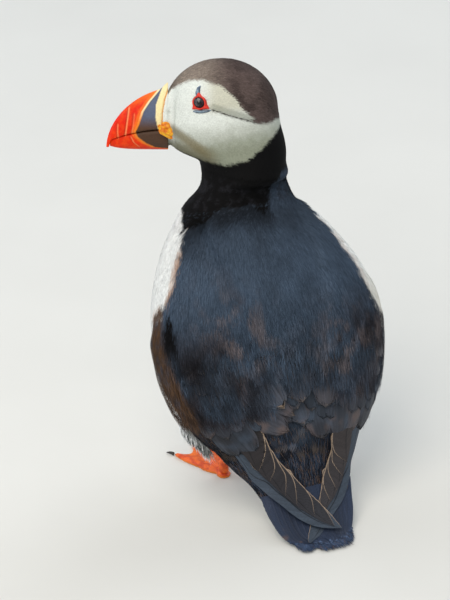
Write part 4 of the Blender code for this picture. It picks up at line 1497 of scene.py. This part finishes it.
def billTone(f, h, points):
    bright = 0.5 * patches(points, 1.6, 50, 0.35, 0.8) + 0.3 * smooth(-8, -20, h)
    red = mix(linear("#de2204"), linear("#ea4812"), bright)
    red = mix(red, linear("#f6842c"), 0.6 * smooth(5, 0, culmen(f) - h) * smooth(60, 40, f))
    slate = mix(linear("#5a4030"), linear("#566078"), smooth(-10, 0, h))
    slate = mix(slate, linear("#47362c"), 0.6 * smooth(-9, -13, h))
    cream = mix(linear("#f1dfa8"), linear("#e6bc6c"), 0.5 * smooth(-2, -9, h))
    rim = mix(linear("#f08a2c"), linear("#f6e4ae"), smooth(-6, 4, h))
    border, front, rear = (curve(bill[key], h) for key in ("border", "ridgeFront", "ridgeRear"))
    lowEnd = smooth(-24, -22, h)
    tone = mix(slate, red, smooth(-0.25, 0.25, f - border - 0.5))
    orange = smooth(2.2, 0.6, np.abs(f - border - 1.0)) * (f > border) * lowEnd
    tone = mix(tone, linear("#f07a24"), 0.7 * orange)
    line = smooth(0.85, 0.4, np.abs(f - border)) * lowEnd
    tone = mix(tone, rim, np.where(h < -13, 0.75, 1.0) * line)
    onUpper = h > gape(f)
    tone = mix(tone, cream, smooth(-0.2, 0.2, front - f) * onUpper)
    tone = mix(tone, linear("#e2902c"), smooth(0.2, -0.2, f - rear) * onUpper)
    tone = mix(tone, colour["cheek"], smooth(-0.5, -0.9, f - rear) * onUpper)
    for path, _, pale in bill["grooves"]:
        away = f - curve(path, h)
        inside = alongGroove(path, h, 0.8, 0.8)
        tone = mix(tone, linear("#f9a468"), pale * 0.8 * inside * bell(away + 0.5, 0.45))
        tone = mix(tone, linear("#b02808"), 0.6 * inside * bell(away - 0.2, 0.35))
    return tone


def billDent(f, h):
    # how far grooves, ridge and borders go into the bill's side
    dent = np.zeros_like(f)
    for path, depth, _ in bill["grooves"]:
        dent += depth * alongGroove(path, h, 1.5, 1) * bell(f - curve(path, h), 0.6)
    border, front, rear = (curve(bill[key], h) for key in ("border", "ridgeFront", "ridgeRear"))
    onUpper = h > gape(f)
    ridge = smooth(rear - 0.8, rear + 0.8, f) * smooth(front + 0.5, front - 0.7, f) * onUpper
    dent -= 0.75 * ridge
    dent += 0.3 * smooth(rear - 0.5, rear - 1.8, f) * onUpper
    dent += 0.35 * smooth(border + 0.4, border - 1.4, f) * (1 - ridge)
    return dent - 0.25 * bell(f - border, 0.8)


def mandible(name, tip, bottom, high, narrow):
    rings = bill["rings"]
    store = {}

    def place(ring, angle):
        t = np.clip((ring - 1) / (rings - 1), 0, 1)
        f = bill["base"] + 0.3 + (tip - bill["base"] - 0.3) * np.sin(t * math.pi / 2)
        low, over = bottom(f), high(f)
        c, q = np.cos(angle), np.sin(angle)
        h = (low + over) / 2 + (over - low) / 2 * c * (ring > 0) * (ring < rings)
        u = np.clip((f - bill["base"]) / (tip - bill["base"] + 0.8), 0, 1)
        width = bill["half"] * (1 - u ** 1.5) ** 0.8 * (1 - narrow * c)
        flat = np.where(c * narrow < 0, 0.22, 0.8)  # the halves meet with nearly upright sides
        side = width * np.sign(q) * np.abs(q) ** flat * (ring > 0) * (ring < rings)
        side = side - np.sign(side) * np.minimum(billDent(f, h), np.abs(side) * 0.6)
        store["f"], store["h"] = f, h
        return fromHead(side, f, h)

    def tones(points):
        return billTone(store["f"], store["h"], points)

    return sphereMesh(name, rings, bill["segments"], place, tones)


rosette = {"centre": (9.4, 29.6, -9.8), "length": 6.8, "height": 4.4, "tilt": (0.86, 0.5), "rings": 40}


def rosetteMesh(name, m):
    # folded yellow skin at the corner of the gape, creased like petals
    centre, (c, q) = rosette["centre"], rosette["tilt"]

    def place(ring, angle):
        polar = ring / rosette["rings"] * math.pi
        r = np.sin(polar)
        oval = 1 + 0.06 * np.cos(angle * 6) * r
        folds = 0.32 * np.cos(r * 13.0) * (1 - 0.3 * r) + 0.22 * np.cos(angle * 9) * r * (1 - r)
        slit = -0.7 * bell(np.sin(angle - 0.35) * r, 0.09) * (np.cos(angle - 0.35) > 0)
        out = np.cos(polar) * 2.0 + (folds + slit) * (np.cos(polar) > 0)
        x = r * np.cos(angle) * rosette["length"] * oval
        y = r * np.sin(angle) * rosette["height"] * oval
        return fromHead(m * (centre[0] + out + 0.4), centre[1] + x * c - y * q, centre[2] + x * q + y * c)

    def tones(points):
        _, f, h = toHead(points).T
        r = np.hypot(f - centre[1], h - centre[2])
        tone = mix(linear("#f2b418"), linear("#e07a14"), patches(points, 1.3, 52, 0.35, 0.75))
        return mix(tone, linear("#c85a10"), 0.5 * smooth(0.2, 0.9, np.cos(r * 3.0)))

    return sphereMesh(name, rosette["rings"], 64, place, tones)


upper = mandible("bill_upper_horn", bill["tip"], upperBottom, culmen, 0.45)
lower = mandible("bill_lower_horn", bill["lowerTip"], gonys, lambda f: gape(f) - 0.12, -0.15)
finishPiece(upper, "horn", "bill", ["bill_upper"])
finishPiece(lower, "horn", "bill", ["bill_lower"])
for label, m in (("left", 1), ("right", -1)):
    finishPiece(rosetteMesh("rosette_fold_" + label, m), "flesh", "rosette", ["rosette_" + label])


def faceField(points):
    # head and bill as one softly blended surface, its normals leaning out to the side over the seam
    blend = 1.6
    d1, n1 = billField(points)
    d2, n2 = bodyField(points)
    t = np.clip(0.5 + 0.5 * (d2 - d1) / blend, 0, 1)
    side, f, _ = toHead(points).T
    lean = (np.sign(side) * 1.8 * smooth(26.0, 29.5, f) * smooth(34, 32, f))[:, None] * headSide
    n = unit(n2 * (1 - t)[:, None] + n1 * t[:, None] + lean)
    return d2 * (1 - t) + d1 * t - blend * t * (1 - t), n


lore = {"low": -22.0, "high": 15.0, "rear": 25.6, "front": 33.8, "side": 10.0}


def loreCoat(name, m):
    # small white feathers that run up onto the base of the bill as far as the pale ridge
    rng = np.random.default_rng(19)
    n = number["lore"]
    h = rng.uniform(lore["low"], lore["high"], n)
    f = rng.uniform(lore["rear"], lore["front"], n)
    keep = (rng.uniform(0, 1, n) < smooth(25.6, 30.4, f)) & (f < curve(bill["ridgeRear"], h) - 0.1)
    keep = keep & ((h > -8) | (f < 31.4 + 0.1 * (h + 22)))
    h, f = h[keep], f[keep]
    p = fromHead(np.full(len(h), lore["side"] * m), f, h)
    p = settle(faceField, settle(faceField, p, 0.0), 0.0)
    side, f, h = toHead(p).T
    keep = (side * m > 3.0) & ((h > -7) | (f < 31.6))
    p, f, h = p[keep], f[keep], h[keep]
    n = len(p)
    tone = headTone(fromHead(np.full(n, lore["side"] * m), np.minimum(f, 27.0), np.minimum(h, 11.0)))
    flow = np.tile(headBack, (n, 1)) - 0.15 * headUp
    uv = np.stack([(f - 26) / 9 * 0.9, (h + 24) / 44 * 0.98], 1)
    o = dict(
        fine, shape=fanShape(3, 0.3), length=rng.uniform(1.7, 2.6, n) + 0.5 * smooth(31.5, 30.5, f),
        half=np.full(n, 0.42), sink=0.3, low=0.05 - 0.2 * smooth(29, 27, f),
        high=0.3 + 0.1 * smooth(30, 31, f), rough=0.02,
    )
    layFeathers(name, "down", "face", faceField, o, p, flow, uv, tone, tone, 20)


billVerts = np.concatenate([pointsOf(upper.data), pointsOf(lower.data)])
billFaces = [tuple(p.vertices) for p in upper.data.polygons]
billFaces += [tuple(v + len(upper.data.vertices) for v in p.vertices) for p in lower.data.polygons]
billField = surfaceField(billVerts, billFaces, 1.0, 6.0)
loreCoat("coat_lore_left", 1)
loreCoat("coat_lore_right", -1)
print("bill made")

# eyes and their plates


def onHead(f, h, m, lift):
    # the place on the head's left (1) or right (-1) side at that forward and height
    side = np.full(np.shape(f), 24.0)
    for _ in range(8):
        d, n = bodyField(fromHead(side * m, f, h))
        side = side - d / np.clip(np.abs(n @ headSide), 0.35, 1)
    p = fromHead(side * m, f, h)
    return p + bodyField(p)[1] * np.asarray(lift)[..., None]


def fromEye(points):
    _, f, h = toHead(points).T
    return np.hypot(f - eye["forward"], h - eye["up"])


def eyeBall(name, m):
    def place(ring, angle):
        polar = ring / 48 * math.pi
        c, q, r = np.cos(polar), np.sin(polar), eye["radius"]
        out = c * r + 0.45 * smooth(0.5, 0.0, q) * (c > 0)  # the cornea stands out
        f = eye["forward"] + q * np.cos(angle) * r
        return fromHead(m * (eye["side"] + out), f, eye["up"] + q * np.sin(angle) * r)

    def tones(points):
        r = fromEye(points)
        iris = mix(linear("#4c4b50"), linear("#323036"), patches(points, 0.5, 55, 0.3, 0.7))
        tone = mix(iris, linear("#050507"), smooth(eye["pupil"] + 0.15, eye["pupil"] - 0.1, r))
        return mix(tone, linear("#101018"), smooth(eye["iris"] - 0.1, eye["iris"] + 0.3, r))

    return sphereMesh(name, 48, 48, place, tones)


def sheetOnHead(name, f, h, lift, m, tones):
    # a grid of places on the head, rows along the piece
    verts = onHead(f.ravel(), h.ravel(), m, lift.ravel())
    ob = meshFrom(name, verts, gridFacesOf(*f.shape, 0), None, tones(verts, f.ravel(), h.ravel()))
    outward(ob)
    return ob


lid = {"corners": [(0.6, 7.0), (-6.4, -3.3), (4.6, -4.3)], "points": 97, "least": 1.25, "most": 6.7}


def lidReach(phi):
    # how far the triangle's sides lie from the eye's middle, by direction
    reach = np.full(lid["points"], 99.0)
    corners = lid["corners"]
    for (x0, y0), (x1, y1) in zip(corners, corners[1:] + corners[:1]):
        nx, ny = y1 - y0, x0 - x1
        along = np.cos(phi) * nx + np.sin(phi) * ny
        hit = (x0 * nx + y0 * ny) / np.where(np.abs(along) < 1e-6, 1e-6, along)
        reach = np.where(hit > 0, np.minimum(reach, hit), reach)
    return np.clip(reach, eye["lid"] + lid["least"], lid["most"])


def eyeRing(name, m):
    # red fleshy lid, drawn out into a triangle, round the opening
    phi = np.linspace(0, 2 * math.pi, lid["points"])
    reach = lidReach(phi)[:, None]
    phi = phi[:, None]
    q = np.linspace(0, 1, 11)[None]
    r = eye["lid"] - 0.15 + (reach - eye["lid"] + 0.15) * q
    f = eye["forward"] + np.cos(phi) * r
    h = eye["up"] + np.sin(phi) * r
    fold = 0.12 * np.sin(q * 9) * (reach > 4.2)
    lift = -0.55 + 1.55 * np.sin(np.pi * np.clip(q * 1.02, 0, 1)) ** 0.55 + fold

    def tones(points, f, h):
        tone = mix(linear("#e23014"), linear("#b81e10"), patches(points, 0.8, 56, 0.4, 0.7))
        away = np.hypot(f - eye["forward"], h - eye["up"])
        return mix(tone, linear("#5a1410"), smooth(eye["lid"] + 0.25, eye["lid"] - 0.1, away))

    return sheetOnHead(name, f, h, lift, m, tones)


plates = {
    # forward, height and half width along the path from the eye's middle, then thickness and colours
    "spur": (
        [(1.0, 3.7, 1.25), (1.1, 5.6, 1.45), (0.5, 8.0, 1.1), (-0.6, 9.7, 0.35)],
        1.5, ("#8fa3b4", "#5c6c80"),
    ),
    "bar": (
        [(3.7, -5.3, 0.5), (2.0, -5.3, 0.95), (-1.0, -5.2, 1.0), (-4.5, -4.6, 0.8), (-6.9, -4.0, 0.35)],
        1.3, ("#8496a4", "#566474"),
    ),
}


def plate(name, m, path, high, hexes):
    # small horny plate laid along its path
    pts = np.array(path, float)
    t = np.linspace(0, 1, 25)
    x, y, w = (np.interp(t, np.linspace(0, 1, len(pts)), pts[:, i]) for i in range(3))
    dx, dy = np.gradient(x), np.gradient(y)
    size = np.hypot(dx, dy)
    q = np.linspace(-1, 1, 9)[None]
    f = eye["forward"] + x[:, None] - (dy / size * w)[:, None] * q
    h = eye["up"] + y[:, None] + (dx / size * w)[:, None] * q
    ends = np.sin(np.pi * np.clip(t, 0.06, 0.94))[:, None] ** 0.5
    lift = -0.5 + high * np.sqrt(np.clip(1 - q ** 2, 0, 1)) * ends

    def tones(points, f, h):
        tone = mix(linear(hexes[0]), linear(hexes[1]), patches(points, 1.1, 57, 0.3, 0.7))
        rim = np.tile(smooth(0.55, 1.0, np.abs(q)), (25, 1)).ravel()
        return mix(tone, linear("#25262c"), rim * 0.7)

    return sheetOnHead(name, f, h, lift, m, tones)


for label, m in (("left", 1), ("right", -1)):
    finishPiece(eyeBall("eyeball_" + label, m), "eye", "eye", ["eye_" + label])
    finishPiece(eyeRing("eye_ring_" + label, m), "flesh", "rosette")
    for kind, (path, high, hexes) in plates.items():
        finishPiece(plate("eye_" + kind + "_" + label, m, path, high, hexes), "horn", "claw")
print("eyes made")

# thighs and claws


def thighCoat(side):
    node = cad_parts["thigh_" + side]
    verts = pointsOf(node.data)
    triangles = np.array([p.vertices[:3] for p in node.data.polygons])
    field = surfaceField(verts, triangles, 1.5, 7.0)
    rng = np.random.default_rng(11 + len(side))
    a, b, c = (verts[triangles[:, i]] for i in range(3))
    area = np.linalg.norm(np.cross(b - a, c - a), axis=1)
    pick = rng.choice(len(area), number["thigh"], p=area / area.sum())
    u, v = rng.uniform(0, 1, (2, number["thigh"], 1))
    u, v = np.where(u + v > 1, 1 - u, u), np.where(u + v > 1, 1 - v, v)
    p = a[pick] + (b - a)[pick] * u + (c - a)[pick] * v
    p = p[bodyField(p)[0] > -3.0]
    n = len(p)
    flow = np.tile([0.0, 0.25, -1.0], (n, 1))
    tone = np.tile(colour["white"], (n, 1)) * rng.uniform(0.8, 1.05, (n, 1))
    x, y, z = (p - verts.mean(0)).T
    uv = np.stack([np.arctan2(x, y) / (2 * math.pi) + 0.5, (z - z.min()) / np.ptp(z)], 1) * 0.996
    o = dict(
        fine, shape=fanShape(5, 0.4), length=np.full(n, 8.0), half=np.full(n, 1.6), sink=1.2, high=1.5,
        stray=0.22, rough=0.25,
    )
    layFeathers("coat_thigh_" + side, "down", "thigh", field, o, p, flow, uv, tone, tone, 12)


for side in ("left", "right"):
    thighCoat(side)
    for toe in ("inner", "middle", "outer"):
        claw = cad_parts["claw_" + toe + "_" + side]
        paint(claw.data, np.tile(linear("#2b2624"), (len(claw.data.vertices), 1)))
        claw.data.materials.clear()
        claw.data.materials.append(materials["claw"])
print("thighs and claws made")
